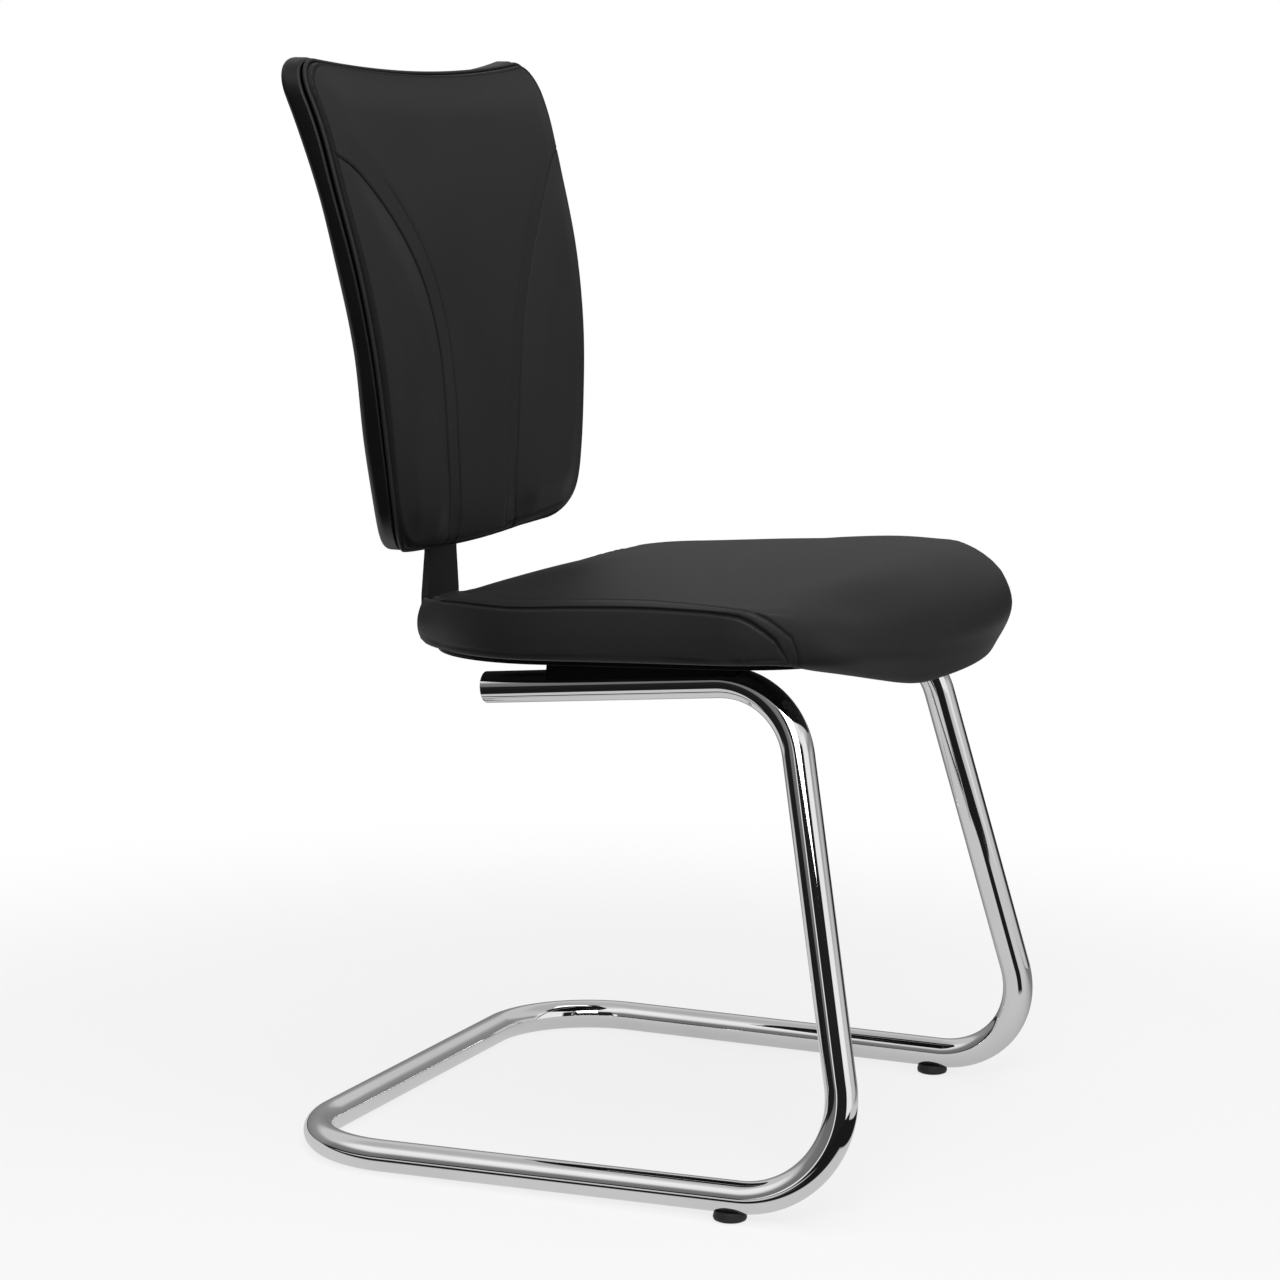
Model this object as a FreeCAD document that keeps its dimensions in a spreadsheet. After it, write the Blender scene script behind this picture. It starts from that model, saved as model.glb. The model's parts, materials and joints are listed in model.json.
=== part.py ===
import FreeCAD, Part
import math
import os
import re

import Sketcher
from FreeCAD import Placement, Rotation, Vector

# A cantilever visitor chair: one bent tube carries an upholstered seat, and a flat
# steel bar carries an upholstered back in a moulded shell.
# Millimetres. X is to the side, -Y is the way the sitter faces, Z is up from the floor.
# The origin lies on the floor under the middle of the chair's outline.

doc = FreeCAD.newDocument("cantilever_chair")
sheet = doc.addObject("Spreadsheet::Sheet", "sizes")

SIZES = {
    # the bent tube
    "tube_dia": 25,
    "tube_wall": 2,
    "seat_rail_half": 152.5,     # each seat rail from the middle plane
    "rail_rear_y": 96,          # open rear end of a seat rail
    "rail_rear_z": 375.4,
    "rail_front_y": -157.7,      # where a rail's line meets its leg's line
    "rail_front_z": 400.8,
    "foot_half": 229.9,          # where a leg's line meets the floor run's line
    "foot_y": -250,
    "foot_z": 19.5,
    "base_half": 245.1,          # where a floor run meets the rear crossbar
    "base_rear_y": 231.1,
    "rail_bend": 66,
    "foot_bend": 75,
    "base_bend": 88,
    # plugs in the rails' open ends
    "plug_length": 16,
    "plug_rib": 1.6,
    "push_gap": 0.15,            # radial gap of pieces pushed into a bore
    # glides under the floor runs
    "glide_y": -150,
    "glide_dia": 26,
    "glide_height": 7.5,
    "glide_hole": 8,
    # seat plane: height over the origin and how steeply it rises to the front
    "seat_base": 409,
    "seat_tilt": 2.91,
    # wedge saddles between rails and seat
    "saddle_rear": 40,
    "saddle_front": -125.7,
    "saddle_width": 24,
    "saddle_wrap": 6,
    # seat layers, upwards from the seat plane
    "pan_thick": 4,
    "board_thick": 12,
    "leather": 1.5,
    "loose": 0.3,                # gap between soft layers and what they lie on
    # seat outline in plan
    "seat_half": 232,
    "seat_front": -251.7,
    "seat_rear": 196.3,
    "seat_front_arc": 600,
    "seat_front_corner": 95,
    "seat_rear_arc": 300,
    "seat_rear_corner": 150,
    "board_inset": 14,
    "board_front": -188.4,
    # seat fasteners
    "bolt_dia": 6,
    "bolt_head_dia": 10.5,
    "bolt_head": 3.3,
    "bolt_front_y": -86,
    "bolt_rear_y": 24,
    "bolt_front_length": 30,
    "bolt_rear_length": 35,
    "driver_hole": 12,
    "tee_barrel_dia": 8,
    "tee_barrel": 9,
    "tee_flange_dia": 19,
    "tee_flange": 1.2,
    "back_barrel": 5,            # the back's tee nuts are shorter, for their thinner board
    "hole_gap": 0.2,             # radial gap round shanks and barrels
    # the bar that carries the back
    "bar_thick": 6,
    "bar_front_y": 210,
    "bar_neck": 48,
    "bar_foot": 58,
    "bar_neck_z": 460,
    "bar_foot_z": 425,
    "bar_top": 618,
    "bar_end_y": 56,
    "bar_bend": 16,
    "bar_corner": 10,
    "bar_hole_x": 14,
    "bar_seat_near": 82,
    "bar_seat_far": 148,
    "bar_back_low": 530,
    "bar_back_high": 592,
    "bar_seat_length": 25,
    "bar_back_length": 16,
    # back outline seen from the front
    "back_top_mid": 849,
    "back_top_horn": 860.5,
    "back_top_half": 206,
    "back_waist_z": 726,
    "back_waist_half": 199.5,
    "back_low_z": 538,
    "back_low_half": 177,
    "back_bottom_half": 158,
    "back_bottom_side": 481,
    "back_bottom_mid": 468.5,
    "back_top_corner": 24,
    "back_low_corner": 46,
    # back layers
    "shell_wall": 3,
    "shell_margin": 6,
    "shell_mid_drop": 8,         # the shell hides behind the middle of the cushion's top
    "shell_horn_drop": 2,
    "shell_inside": 20,          # how far before the shell its inner cut starts
    "inner_thick": 6,
    "inner_inset": 10,
    "rim_gap": 1.0,
    "piping": 4,
    "slot_gap": 1.0,             # round the bar where it enters the shell
    "clip_dia": 9,
    "clip_peg": 5,
    "clip_x": 128,
    "clip_low": 560,
    "clip_high": 760,
    "clip_root": 1,              # where a clip's peg starts inside the board, and ends
    "clip_tip": 12,
}

for row, (alias, number) in enumerate(SIZES.items(), start=1):
    sheet.set("A%d" % row, alias)
    sheet.set("B%d" % row, str(number))
    sheet.setAlias("B%d" % row, alias)
doc.recompute()

WORDS = re.compile(r"\b(%s)\b" % "|".join(SIZES))


def bound(text):
    """An expression of the document from a formula written with the sheet's words."""
    return WORDS.sub(r"sizes.\1", str(text))


def size(text):
    """The number that such a formula has now."""
    return float(sheet.evalExpression(bound(text)))


def tie(thing, **formulas):
    """Bind properties to the sheet; a double underscore stands for a dot."""
    for name, formula in formulas.items():
        thing.setExpression(name.replace("__", "."), bound(formula))


def lean_about_x(thing, angle=1):
    """Give a piece a placement that turns about X, so that only its angle is tied."""
    thing.Placement = Placement(Vector(0, 0, 0), Rotation(Vector(1, 0, 0), angle))


# ---------------------------------------------------------------- helpers for bodies

def new_body(label):
    body = doc.addObject("PartDesign::Body", label)
    body.Label = label
    return body


def new_sketch(body, role, name):
    """A sketch on one of the body's own origin planes."""
    plane = [f for f in body.Origin.OriginFeatures if f.Role == role][0]
    sketch = body.newObject("Sketcher::SketchObject", name)
    sketch.AttachmentSupport = [(plane, "")]
    sketch.MapMode = "FlatFace"
    return sketch


def outline(sketch, points):
    """A closed outline of straight lines whose corners are tied to the sheet."""
    places = [Vector(size(a), size(b), 0) for a, b in points]
    count = len(points)
    first = sketch.GeometryCount
    for i in range(count):
        sketch.addGeometry(Part.LineSegment(places[i], places[(i + 1) % count]), False)
    for i in range(count):
        sketch.addConstraint(Sketcher.Constraint(
            "Coincident", first + i, 2, first + (i + 1) % count, 1))
    for i, corner in enumerate(points):
        for kind, formula in zip(("DistanceX", "DistanceY"), corner):
            datum = sketch.addConstraint(Sketcher.Constraint(
                kind, -1, 1, first + i, 1, size(formula)))
            sketch.setExpression("Constraints[%d]" % datum, bound(formula))


def ring(sketch, across, along, radius):
    """A circle whose centre and radius are tied to the sheet."""
    circle = sketch.addGeometry(Part.Circle(
        Vector(size(across), size(along), 0), Vector(0, 0, 1), size(radius)), False)
    for kind, formula in (("DistanceX", across), ("DistanceY", along)):
        datum = sketch.addConstraint(Sketcher.Constraint(
            kind, -1, 1, circle, 3, size(formula)))
        sketch.setExpression("Constraints[%d]" % datum, bound(formula))
    datum = sketch.addConstraint(Sketcher.Constraint("Radius", circle, size(radius)))
    sketch.setExpression("Constraints[%d]" % datum, bound(radius))


def pad(body, sketch, length, middle=False):
    feature = body.newObject("PartDesign::Pad", sketch.Name + "_pad")
    feature.Profile = sketch
    feature.Midplane = middle
    tie(feature, Length=length)
    sketch.Visibility = False
    return feature


def spin(body, sketch):
    """Turn a profile of radius across and height up round the body's Z axis."""
    feature = body.newObject("PartDesign::Revolution", sketch.Name + "_turned")
    feature.Profile = sketch
    feature.ReferenceAxis = (sketch, ["V_Axis"])
    feature.Angle = 360
    sketch.Visibility = False
    return feature


def turned(label, profile):
    """A round piece from its half profile, radius by height."""
    body = new_body(label)
    sketch = new_sketch(body, "XZ_Plane", label + "_profile")
    outline(sketch, profile)
    spin(body, sketch)
    return body


def copies(label, piece, places):
    """Separate copies of one hidden piece, kept together as one node."""
    links = []
    for number, place in enumerate(places, start=1):
        link = doc.addObject("App::Link", "%s_%d" % (label, number))
        link.LinkedObject = piece
        link.LinkTransform = False
        place(link)
        links.append(link)
    group = doc.addObject("Part::Compound", label)
    group.Label = label
    group.Links = links
    return group


def solid(label, shape):
    """A piece whose form neither sketches nor primitives give."""
    feature = doc.addObject("Part::Feature", label)
    feature.Label = label
    feature.Shape = shape
    return feature


def minus(label, base, tools):
    """The base with every tool cut out of it."""
    for number, tool in enumerate(tools, start=1):
        cut = doc.addObject("Part::Cut", "%s_cut_%d" % (label, number))
        cut.Base = base
        cut.Tool = tool
        base = cut
    base.Label = label
    return base


# ---------------------------------------------------------------- the seat's own frame

def on_seat(thing, x="0", y="0", z="0", turn="0"):
    """Place a piece in the tilted seat plane, x across, y back and z off the plane."""
    lean_about_x(thing)
    tie(thing,
        Placement__Base__x=x,
        Placement__Base__y="(%s) * cos(seat_tilt) + (%s) * sin(seat_tilt)" % (y, z),
        Placement__Base__z="seat_base - (%s) * sin(seat_tilt) + (%s) * cos(seat_tilt)" % (y, z),
        Placement__Rotation__Angle="(%s) - seat_tilt" % turn)


def seat_place():
    tilt = size("seat_tilt")
    return Placement(Vector(0, 0, size("seat_base")), Rotation(Vector(1, 0, 0), -tilt))


RAIL_SLOPE = "((rail_front_z - rail_rear_z) / (rail_rear_y - rail_front_y))"
RAIL_TILT = "atan(%s)" % RAIL_SLOPE


def rail_z(y):
    """Height of a seat rail's centreline at a place along Y."""
    return "(rail_rear_z + (rail_rear_y - (%s)) * %s)" % (y, RAIL_SLOPE)


def plane_z(y):
    """Height of the seat plane at a place along Y."""
    return "(seat_base - (%s) * tan(seat_tilt))" % y


# ---------------------------------------------------------------- the bent tube

def bend_points(before, corner, after, radius):
    """Where a bend leaves the first run, its centre, and where it joins the next run."""
    back = (before - corner).normalize()
    ahead = (after - corner).normalize()
    half = back.getAngle(ahead) / 2
    reach = radius / math.tan(half)
    centre = corner + (back + ahead).normalize() * (radius / math.sin(half))
    return corner + back * reach, centre, corner + ahead * reach


def tube_corners():
    """Where the lines of the straight runs meet, from one open rail end to the other."""
    def side(sign):
        return [
            Vector(sign * size("seat_rail_half"), size("rail_rear_y"), size("rail_rear_z")),
            Vector(sign * size("seat_rail_half"), size("rail_front_y"), size("rail_front_z")),
            Vector(sign * size("foot_half"), size("foot_y"), size("foot_z")),
            Vector(sign * size("base_half"), size("base_rear_y"), size("tube_dia / 2")),
        ]
    return side(-1) + side(1)[::-1]


def section(centre, along, radius):
    """A round face square to a direction."""
    return Part.Face(Part.Wire(Part.makeCircle(radius, centre, along)))


def bent_bar(corners, bends, radius):
    """A round bar of straight runs and turned bends, and its length along the middle."""
    pieces = []
    here = corners[0]
    length = 0
    for before, corner, after, bend in zip(corners, corners[1:], corners[2:], bends):
        start, centre, end = bend_points(before, corner, after, bend)
        arm, last_arm = start - centre, end - centre
        turn = arm.getAngle(last_arm)
        pieces.append(section(here, start - here, radius).extrude(start - here))
        pieces.append(section(start, start - here, radius).revolve(
            centre, arm.cross(last_arm), math.degrees(turn)))
        length += (start - here).Length + bend * turn
        here = end
    last = corners[-1] - here
    pieces.append(section(here, last, radius).extrude(last))
    return pieces[0].multiFuse(pieces[1:]).removeSplitter(), length + last.Length


BENDS = [size(name) for name in ("rail_bend", "foot_bend", "base_bend")]
BENDS = BENDS + BENDS[::-1]
outer_bar, _ = bent_bar(tube_corners(), BENDS, size("tube_dia / 2"))
inner_bar, tube_length = bent_bar(tube_corners(), BENDS, size("tube_dia / 2 - tube_wall"))
bent_tube = solid("bent_tube", outer_bar.cut(inner_bar))
wall_area = math.pi * (size("tube_dia / 2") ** 2 - size("tube_dia / 2 - tube_wall") ** 2)
print("tube: %.0f mm along its middle, volume %.4f of section times length" % (
    tube_length, bent_tube.Shape.Volume / (wall_area * tube_length)))


def seat_drill(name, x, y, low, high, radius):
    """A cylinder square to the seat plane, from low to high off the plane."""
    drill = doc.addObject("Part::Cylinder", name)
    tie(drill, Radius=radius, Height="(%s) - (%s)" % (high, low))
    on_seat(drill, x, y, low)
    return drill


SIDES = (("left", "-"), ("right", ""))
BOLT_ROWS = (("front", "bolt_front_y"), ("rear", "bolt_rear_y"))


def rail_middle(y):
    """How far a rail's centreline lies under the seat plane, square to the plane."""
    return "((%s - %s) * cos(seat_tilt))" % (rail_z(y), plane_z(y))


def glide_x():
    """The floor run's middle over a glide."""
    return "(foot_half + (base_half - foot_half) * (glide_y - foot_y) / (base_rear_y - foot_y))"


def glide_z():
    return "(foot_z + (tube_dia / 2 - foot_z) * (glide_y - foot_y) / (base_rear_y - foot_y))"


tube_drills = []
for side, sign in SIDES:
    for row, y in BOLT_ROWS:
        middle = rail_middle(y)
        tube_drills.append(seat_drill(
            "shank_hole_%s_%s" % (side, row), sign + "seat_rail_half", y,
            middle, middle + " + tube_dia", "bolt_dia / 2 + hole_gap"))
        tube_drills.append(seat_drill(
            "driver_hole_%s_%s" % (side, row), sign + "seat_rail_half", y,
            middle + " - tube_dia", middle, "driver_hole / 2"))
    peg_hole = doc.addObject("Part::Cylinder", "peg_hole_" + side)
    tie(peg_hole, Radius="glide_hole / 2", Height=glide_z(),
        Placement__Base__x=sign + glide_x(), Placement__Base__y="glide_y")
    tube_drills.append(peg_hole)
minus("cantilever_frame", bent_tube, tube_drills)


# ---------------------------------------------------------------- end plugs

def end_plug(side, sign):
    """A flush plug with grip ribs, pushed into a rail's open end."""
    bore = "tube_dia / 2 - tube_wall - push_gap"
    core = bore + " - plug_rib"
    profile = [("0", "0"), (bore + " - 0.8", "0"), (bore, "0.8"), (bore, "4"), (core, "4")]
    for number in range(2):
        low = 6 + 4 * number
        profile += [(core, str(low)), (bore, str(low + 0.6)), (core, str(low + 2))]
    profile += [(core, "plug_length - 2"), (core + " - 2", "plug_length"), ("0", "plug_length")]
    plug = turned("tube_plug_" + side, profile)
    lean_about_x(plug)
    tie(plug, Placement__Base__x=sign + "seat_rail_half", Placement__Base__y="rail_rear_y",
        Placement__Base__z="rail_rear_z", Placement__Rotation__Angle="90 deg - " + RAIL_TILT)
    return plug


for side, sign in SIDES:
    end_plug(side, sign)


# ---------------------------------------------------------------- floor glides

def run_bar(name, sign, gap):
    """A bar on the line of a floor run, a gap thicker than the tube all round."""
    bar = doc.addObject("Part::Cylinder", name)
    foot = Vector(size(sign + "foot_half"), size("foot_y"), size("foot_z"))
    rear = Vector(size(sign + "base_half"), size("base_rear_y"), size("tube_dia / 2"))
    tie(bar, Radius="tube_dia / 2 + " + gap)
    bar.Height = (rear - foot).Length
    bar.Placement = Placement(foot, Rotation(Vector(0, 0, 1), rear - foot))
    return bar


def floor_glide(side, sign):
    """A round foot with a saddle top and a snap peg that enters the tube's underside."""
    body = turned("glide_foot_" + side, [
        ("0", "0"), ("glide_dia / 2 - 2", "0"), ("glide_dia / 2 - 0.6", "0.7"),
        ("glide_dia / 2", "2.4"), ("glide_dia / 2 - 1", "glide_height"), ("0", "glide_height")])
    tie(body, Placement__Base__x=sign + glide_x(), Placement__Base__y="glide_y")
    foot = minus("glide_saddle_" + side, body, [run_bar("glide_run_" + side, sign, "push_gap")])
    wall = glide_z() + " - tube_dia / 2"
    inside = wall + " + tube_wall"
    peg = "glide_hole / 2 - push_gap"
    pin = turned("glide_peg_" + side, [
        ("0", "2"), (peg, "2"), (peg, inside + " + 1.4"),
        (peg + " + 0.7", inside + " + 1.9"), (peg + " - 1", inside + " + 5"),
        ("0", inside + " + 5")])
    tie(pin, Placement__Base__x=sign + glide_x(), Placement__Base__y="glide_y")
    glide = doc.addObject("Part::Fuse", "front_glide_" + side)
    glide.Base = foot
    glide.Tool = pin
    glide.Label = "front_glide_" + side


for side, sign in SIDES:
    floor_glide(side, sign)


# ---------------------------------------------------------------- wedge saddles

def rail_bar(name, sign, gap):
    """A bar on the line of a seat rail, a gap thicker than the tube all round."""
    bar = doc.addObject("Part::Cylinder", name)
    lean_about_x(bar)
    tie(bar, Radius="tube_dia / 2 + " + gap, Height="(rail_rear_y - rail_front_y) * 2",
        Placement__Base__x=sign + "seat_rail_half",
        Placement__Base__y="rail_rear_y + 50", Placement__Base__z=rail_z("rail_rear_y + 50"),
        Placement__Rotation__Angle="90 deg - " + RAIL_TILT)
    return bar


def saddle(side, sign):
    """A moulded wedge: hollow below for the rail, flat above for the seat."""
    body = new_body("saddle_block_" + side)
    sketch = new_sketch(body, "YZ_Plane", "saddle_side_" + side)
    low = " + saddle_wrap"
    outline(sketch, [
        ("saddle_rear", rail_z("saddle_rear") + low),
        ("saddle_rear - 1.5", plane_z("saddle_rear - 1.5")),
        ("saddle_front", plane_z("saddle_front")),
        ("saddle_front + 8", rail_z("saddle_front + 8") + low)])
    pad(body, sketch, "saddle_width", middle=True)
    tie(body, Placement__Base__x=sign + "seat_rail_half")
    tools = [rail_bar("saddle_rail_" + side, sign, "push_gap")]
    for row, y in BOLT_ROWS:
        tools.append(seat_drill("saddle_hole_%s_%s" % (side, row), sign + "seat_rail_half", y,
                                "-tube_dia", "5", "bolt_dia / 2 + hole_gap"))
    minus("seat_saddle_" + side, body, tools)


for side, sign in SIDES:
    saddle(side, sign)


# ---------------------------------------------------------------- seat outlines in plan

def flip(point):
    """The same place on the other side of the middle plane."""
    return Vector(-point.x, point.y, point.z)


def seat_plan(inset, front=None):
    """Face of the seat outline: two broad arcs, two pairs of corner arcs, straight sides."""
    half = size("seat_half") - inset
    edges = []
    ends = []
    for rim, arc, corner, turn in (
            (size("seat_front") + inset, size("seat_front_arc") - inset,
             size("seat_front_corner") - inset, -1),
            (size("seat_rear") - inset, size("seat_rear_arc") - inset,
             size("seat_rear_corner") - inset, 1)):
        middle = rim - turn * arc
        lean = math.asin((half - corner) / (arc - corner))
        hub = Vector(half - corner, middle + turn * (arc - corner) * math.cos(lean), 0)
        join = Vector(arc * math.sin(lean), middle + turn * arc * math.cos(lean), 0)
        waist = (lean + math.pi / 2) / 2
        bulge = hub + Vector(corner * math.sin(waist), turn * corner * math.cos(waist), 0)
        side_end = Vector(half, hub.y, 0)

        edges.append(Part.Arc(flip(join), Vector(0, rim, 0), join).toShape())
        edges.append(Part.Arc(join, bulge, side_end).toShape())
        edges.append(Part.Arc(flip(join), flip(bulge), flip(side_end)).toShape())
        ends.append((flip(side_end), side_end))
    for near, far in zip(ends[0], ends[1]):
        edges.append(Part.LineSegment(near, far).toShape())
    face = Part.Face(Part.Wire(Part.__sortEdges__(edges)))
    if front is not None:
        keep = Part.makeBox(4 * half, 4 * half, 2, Vector(-2 * half, front, -1))
        face = face.common(keep)
    return face


def plan_block(inset, low, high, front=None):
    """The plan outline raised from low to high off the seat plane."""
    face = seat_plan(inset, front)
    face.translate(Vector(0, 0, low))
    return face.extrude(Vector(0, 0, high - low))


def drilled(shape, places, radius, low, high):
    """A shape in the seat's frame with round holes square to the seat plane."""
    for x, y in places:
        shape = shape.cut(Part.makeCylinder(radius, high - low, Vector(x, y, low)))
    return shape


def seat_solid(label, shape):
    feature = solid(label, shape)
    feature.Placement = seat_place()
    return feature


RAIL_BOLTS = [(size(sign + "seat_rail_half"), size(y)) for side, sign in SIDES
              for row, y in BOLT_ROWS]
BAR_BOLTS = [(size(sign + "bar_hole_x"), size(y)) for side, sign in SIDES
             for y in ("bar_seat_near", "bar_seat_far")]

pan_top = size("pan_thick")
board_low = pan_top + size("leather")
board_top = board_low + size("board_thick")
shank = size("bolt_dia / 2 + hole_gap")
barrel = size("tee_barrel_dia / 2 + hole_gap")

pan = plan_block(size("board_inset"), 0, pan_top, size("board_front"))
seat_solid("seat_underpan", drilled(pan, RAIL_BOLTS + BAR_BOLTS, shank, -1, pan_top + 1))

board = plan_block(size("board_inset"), board_low, board_top, size("board_front"))
seat_solid("seat_board", drilled(board, RAIL_BOLTS + BAR_BOLTS, barrel, pan_top, board_top + 1))

# ---------------------------------------------------------------- seat cushion

# Side view of the cushion on the middle plane, off the seat plane: the front roll by its
# distance behind the front edge, the crest by its share of the seat's depth, and the rear
# wall by its distance ahead of the rear edge.
ROLL = [(59, 4), (50, -9), (32, -20), (13, -8), (1, 16), (3, 40), (20, 60)]
CREST = [(0.13, 71.5), (0.22, 74), (0.31, 71.5), (0.40, 66.4), (0.52, 63), (0.65, 60),
         (0.82, 49), (0.91, 40)]
REAR = [(13.7, 31), (3, 20), (0, 10), (1.7, 4)]

# how far the top has fallen at the seat's sides, by share of the depth
DROP = [(-0.1, 27), (0.13, 27), (0.22, 26.5), (0.31, 23.5), (0.40, 18), (0.52, 14.5),
        (0.65, 13.5), (0.82, 4), (0.91, 0), (1.1, 0)]
CROWN_SLACK = 0.6                # the crowned top clears the side view by this in the middle


def inward(points, gap):
    """The same open outline moved to its right-hand side, into the cushion, by a gap."""
    moved = []
    for number, (y, z) in enumerate(points):
        before = points[max(number - 1, 0)]
        after = points[min(number + 1, len(points) - 1)]
        run = Vector(after[0] - before[0], after[1] - before[1], 0).normalize()
        moved.append((y - run.y * -gap, z - run.x * gap))
    return moved


def seat_depth(share):
    """The place along the seat at a share of its depth, from the front edge."""
    return size("seat_front") + share * (size("seat_rear") - size("seat_front"))


def cushion_side():
    """Points of the side view, from under the front lobe over the top to the rear."""
    front, rear = size("seat_front"), size("seat_rear")
    roll = [(front + back, z) for back, z in ROLL]
    crest = [(seat_depth(share), z) for share, z in CREST]
    return roll + crest + [(rear - ahead, z) for ahead, z in REAR]


def cushion_block(gap, floor):
    """The cushion's side view carried across the seat, above a floor line."""
    points = inward(cushion_side(), gap)
    points[0] = (points[0][0], floor)
    points[-1] = (points[-1][0], floor)
    curve = Part.BSplineCurve()
    half = size("seat_half")
    curve.interpolate([Vector(-half, y, z) for y, z in points])
    first = Vector(-half, *points[0])
    last = Vector(-half, *points[-1])
    wire = Part.Wire([curve.toShape(), Part.LineSegment(last, first).toShape()])
    return Part.Face(wire).extrude(Vector(2 * half, 0, 0))


def crest_at(share):
    """Height of the top on the middle plane, level past the crest's first and last points."""
    near = [point for point in CREST if point[0] <= share][-1:] or CREST[:1]
    far = [point for point in CREST if point[0] >= share][:1] or CREST[-1:]
    (low, start), (high, end) = near[0], far[0]
    if high == low:
        return start
    return start + (end - start) * (share - low) / (high - low)


def under_crown(gap):
    """Everything under the top, which falls towards the sides with the square of x."""
    half = size("seat_half")
    grid = []
    for across in (-1.1, -0.7, -0.35, 0, 0.35, 0.7, 1.1):
        grid.append([Vector(across * half, seat_depth(share),
                            crest_at(share) - drop * across ** 2 + CROWN_SLACK - gap)
                     for share, drop in DROP])
    surface = Part.BSplineSurface()
    surface.interpolate(grid)
    return surface.toShape().extrude(Vector(0, 0, -200))


def cushion(gap, floor):
    block = cushion_block(gap, floor).common(plan_block(gap, -60, 120))
    return block.common(under_crown(gap))


leather = size("leather")
loose = size("loose")
whole = cushion(0, pan_top)
hollow = cushion(leather, pan_top + leather)
mouth = plan_block(size("board_inset") + 18, pan_top - 1, pan_top + leather + 1,
                   size("board_front") + 18)
seat_solid("seat_cover", whole.cut(hollow).cut(mouth))

foam = cushion(leather + loose, board_low + loose)
foam = foam.cut(plan_block(size("board_inset") - loose, board_low - 1, board_top + loose,
                           size("board_front") - loose))
foam = drilled(foam, RAIL_BOLTS + BAR_BOLTS, size("tee_flange_dia / 2 + 1"), board_low,
               board_top + 10)
seat_solid("seat_foam", foam)

# ---------------------------------------------------------------- bolts and tee nuts


def button_bolt(label, length):
    """A socket button-head bolt, head down, with its bearing face at height zero."""
    radius = "bolt_dia / 2"
    head = "bolt_head_dia / 2"
    key = "bolt_dia / 3"
    return turned(label, [
        ("0", "-bolt_head / 2"), (key, "-bolt_head / 2"), (key, "-bolt_head"),
        (head + " - 2", "-bolt_head"), (head + " - 0.6", "-bolt_head / 2"),
        (head, "-0.6"), (head, "0"), (radius, "0"),
        (radius, "(%s) - 0.8" % length), (radius + " - 0.8", length), ("0", length)])


def bolt_nodes():
    for row, y in BOLT_ROWS:
        piece = button_bolt("rail_bolt_" + row, "bolt_%s_length" % row)
        bore = "(tube_dia / 2 - tube_wall)"
        chord = "sqrt(%s ^ 2 - (bolt_head_dia / 2) ^ 2)" % bore
        under = "%s + %s - push_gap" % (rail_middle(y), chord)
        copies("rail_bolts_" + row, piece, [
            lambda link, sign=sign, y=y, under=under:
            on_seat(link, sign + "seat_rail_half", y, under) for side, sign in SIDES])
    piece = button_bolt("bar_seat_bolt", "bar_seat_length")
    copies("bar_seat_bolts", piece, [
        lambda link, sign=sign, y=y: on_seat(link, sign + "bar_hole_x", y, "-bar_thick")
        for side, sign in SIDES for y in ("bar_seat_near", "bar_seat_far")])


def tee_nut(label, depth):
    """A tee nut: flange at height zero with the barrel below it and a clear bore."""
    bore = "bolt_dia / 2 + push_gap"
    return turned(label, [
        (bore, "-" + depth), ("tee_barrel_dia / 2", "-" + depth),
        ("tee_barrel_dia / 2", "0"), ("tee_flange_dia / 2", "0"),
        ("tee_flange_dia / 2", "tee_flange"), (bore, "tee_flange")])


BOARD_TOP = "pan_thick + leather + board_thick"
bolt_nodes()
seat_nut = tee_nut("seat_tee_nut", "tee_barrel")
copies("seat_tee_nuts", seat_nut, [
    lambda link, sign=sign, x=x, y=y: on_seat(link, sign + x, y, BOARD_TOP)
    for side, sign in SIDES
    for x, y in (("seat_rail_half", "bolt_front_y"), ("seat_rail_half", "bolt_rear_y"),
                 ("bar_hole_x", "bar_seat_near"), ("bar_hole_x", "bar_seat_far"))])

# ---------------------------------------------------------------- the back's bar


def back_bar():
    """Flat steel bent from under the seat up into the back, wider at its foot."""
    body = new_body("bar_strip")
    sketch = new_sketch(body, "YZ_Plane", "bar_side")
    fall = "bar_thick / cos(seat_tilt)"
    rear = "bar_front_y + bar_thick"
    outline(sketch, [
        ("bar_end_y", plane_z("bar_end_y")),
        ("bar_end_y", plane_z("bar_end_y") + " - " + fall),
        (rear, plane_z(rear) + " - " + fall),
        (rear, "bar_top"), ("bar_front_y", "bar_top"),
        ("bar_front_y", plane_z("bar_front_y"))])
    pad(body, sketch, "bar_foot", middle=True)
    doc.recompute()
    bend_edges(body, "bar_outer_bend", "bar_front_y + bar_thick", "bar_bend + bar_thick")
    bend_edges(body, "bar_inner_bend", "bar_front_y", "bar_bend")

    neck = new_sketch(body, "XZ_Plane", "bar_neck_cuts")
    for sign in ("", "-"):
        outline(neck, [
            (sign + "bar_neck / 2", "bar_neck_z"), (sign + "bar_foot / 2", "bar_foot_z"),
            (sign + "bar_foot", "bar_foot_z"), (sign + "bar_foot", "bar_top + 5"),
            (sign + "bar_neck / 2", "bar_top + 5")])
    cut_through(body, neck)

    high = new_sketch(body, "XZ_Plane", "bar_back_holes")
    for sign in ("", "-"):
        for z in ("bar_back_low", "bar_back_high"):
            ring(high, sign + "bar_hole_x", z, "bolt_dia / 2 + hole_gap")
    cut_through(body, high)
    round_corners(body)
    drills = [seat_drill("bar_hole_%s_%s" % (side, y), sign + "bar_hole_x", y, "-40", "1",
                         "bolt_dia / 2 + hole_gap")
              for side, sign in SIDES for y in ("bar_seat_near", "bar_seat_far")]
    return minus("back_bar", body, drills)


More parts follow.
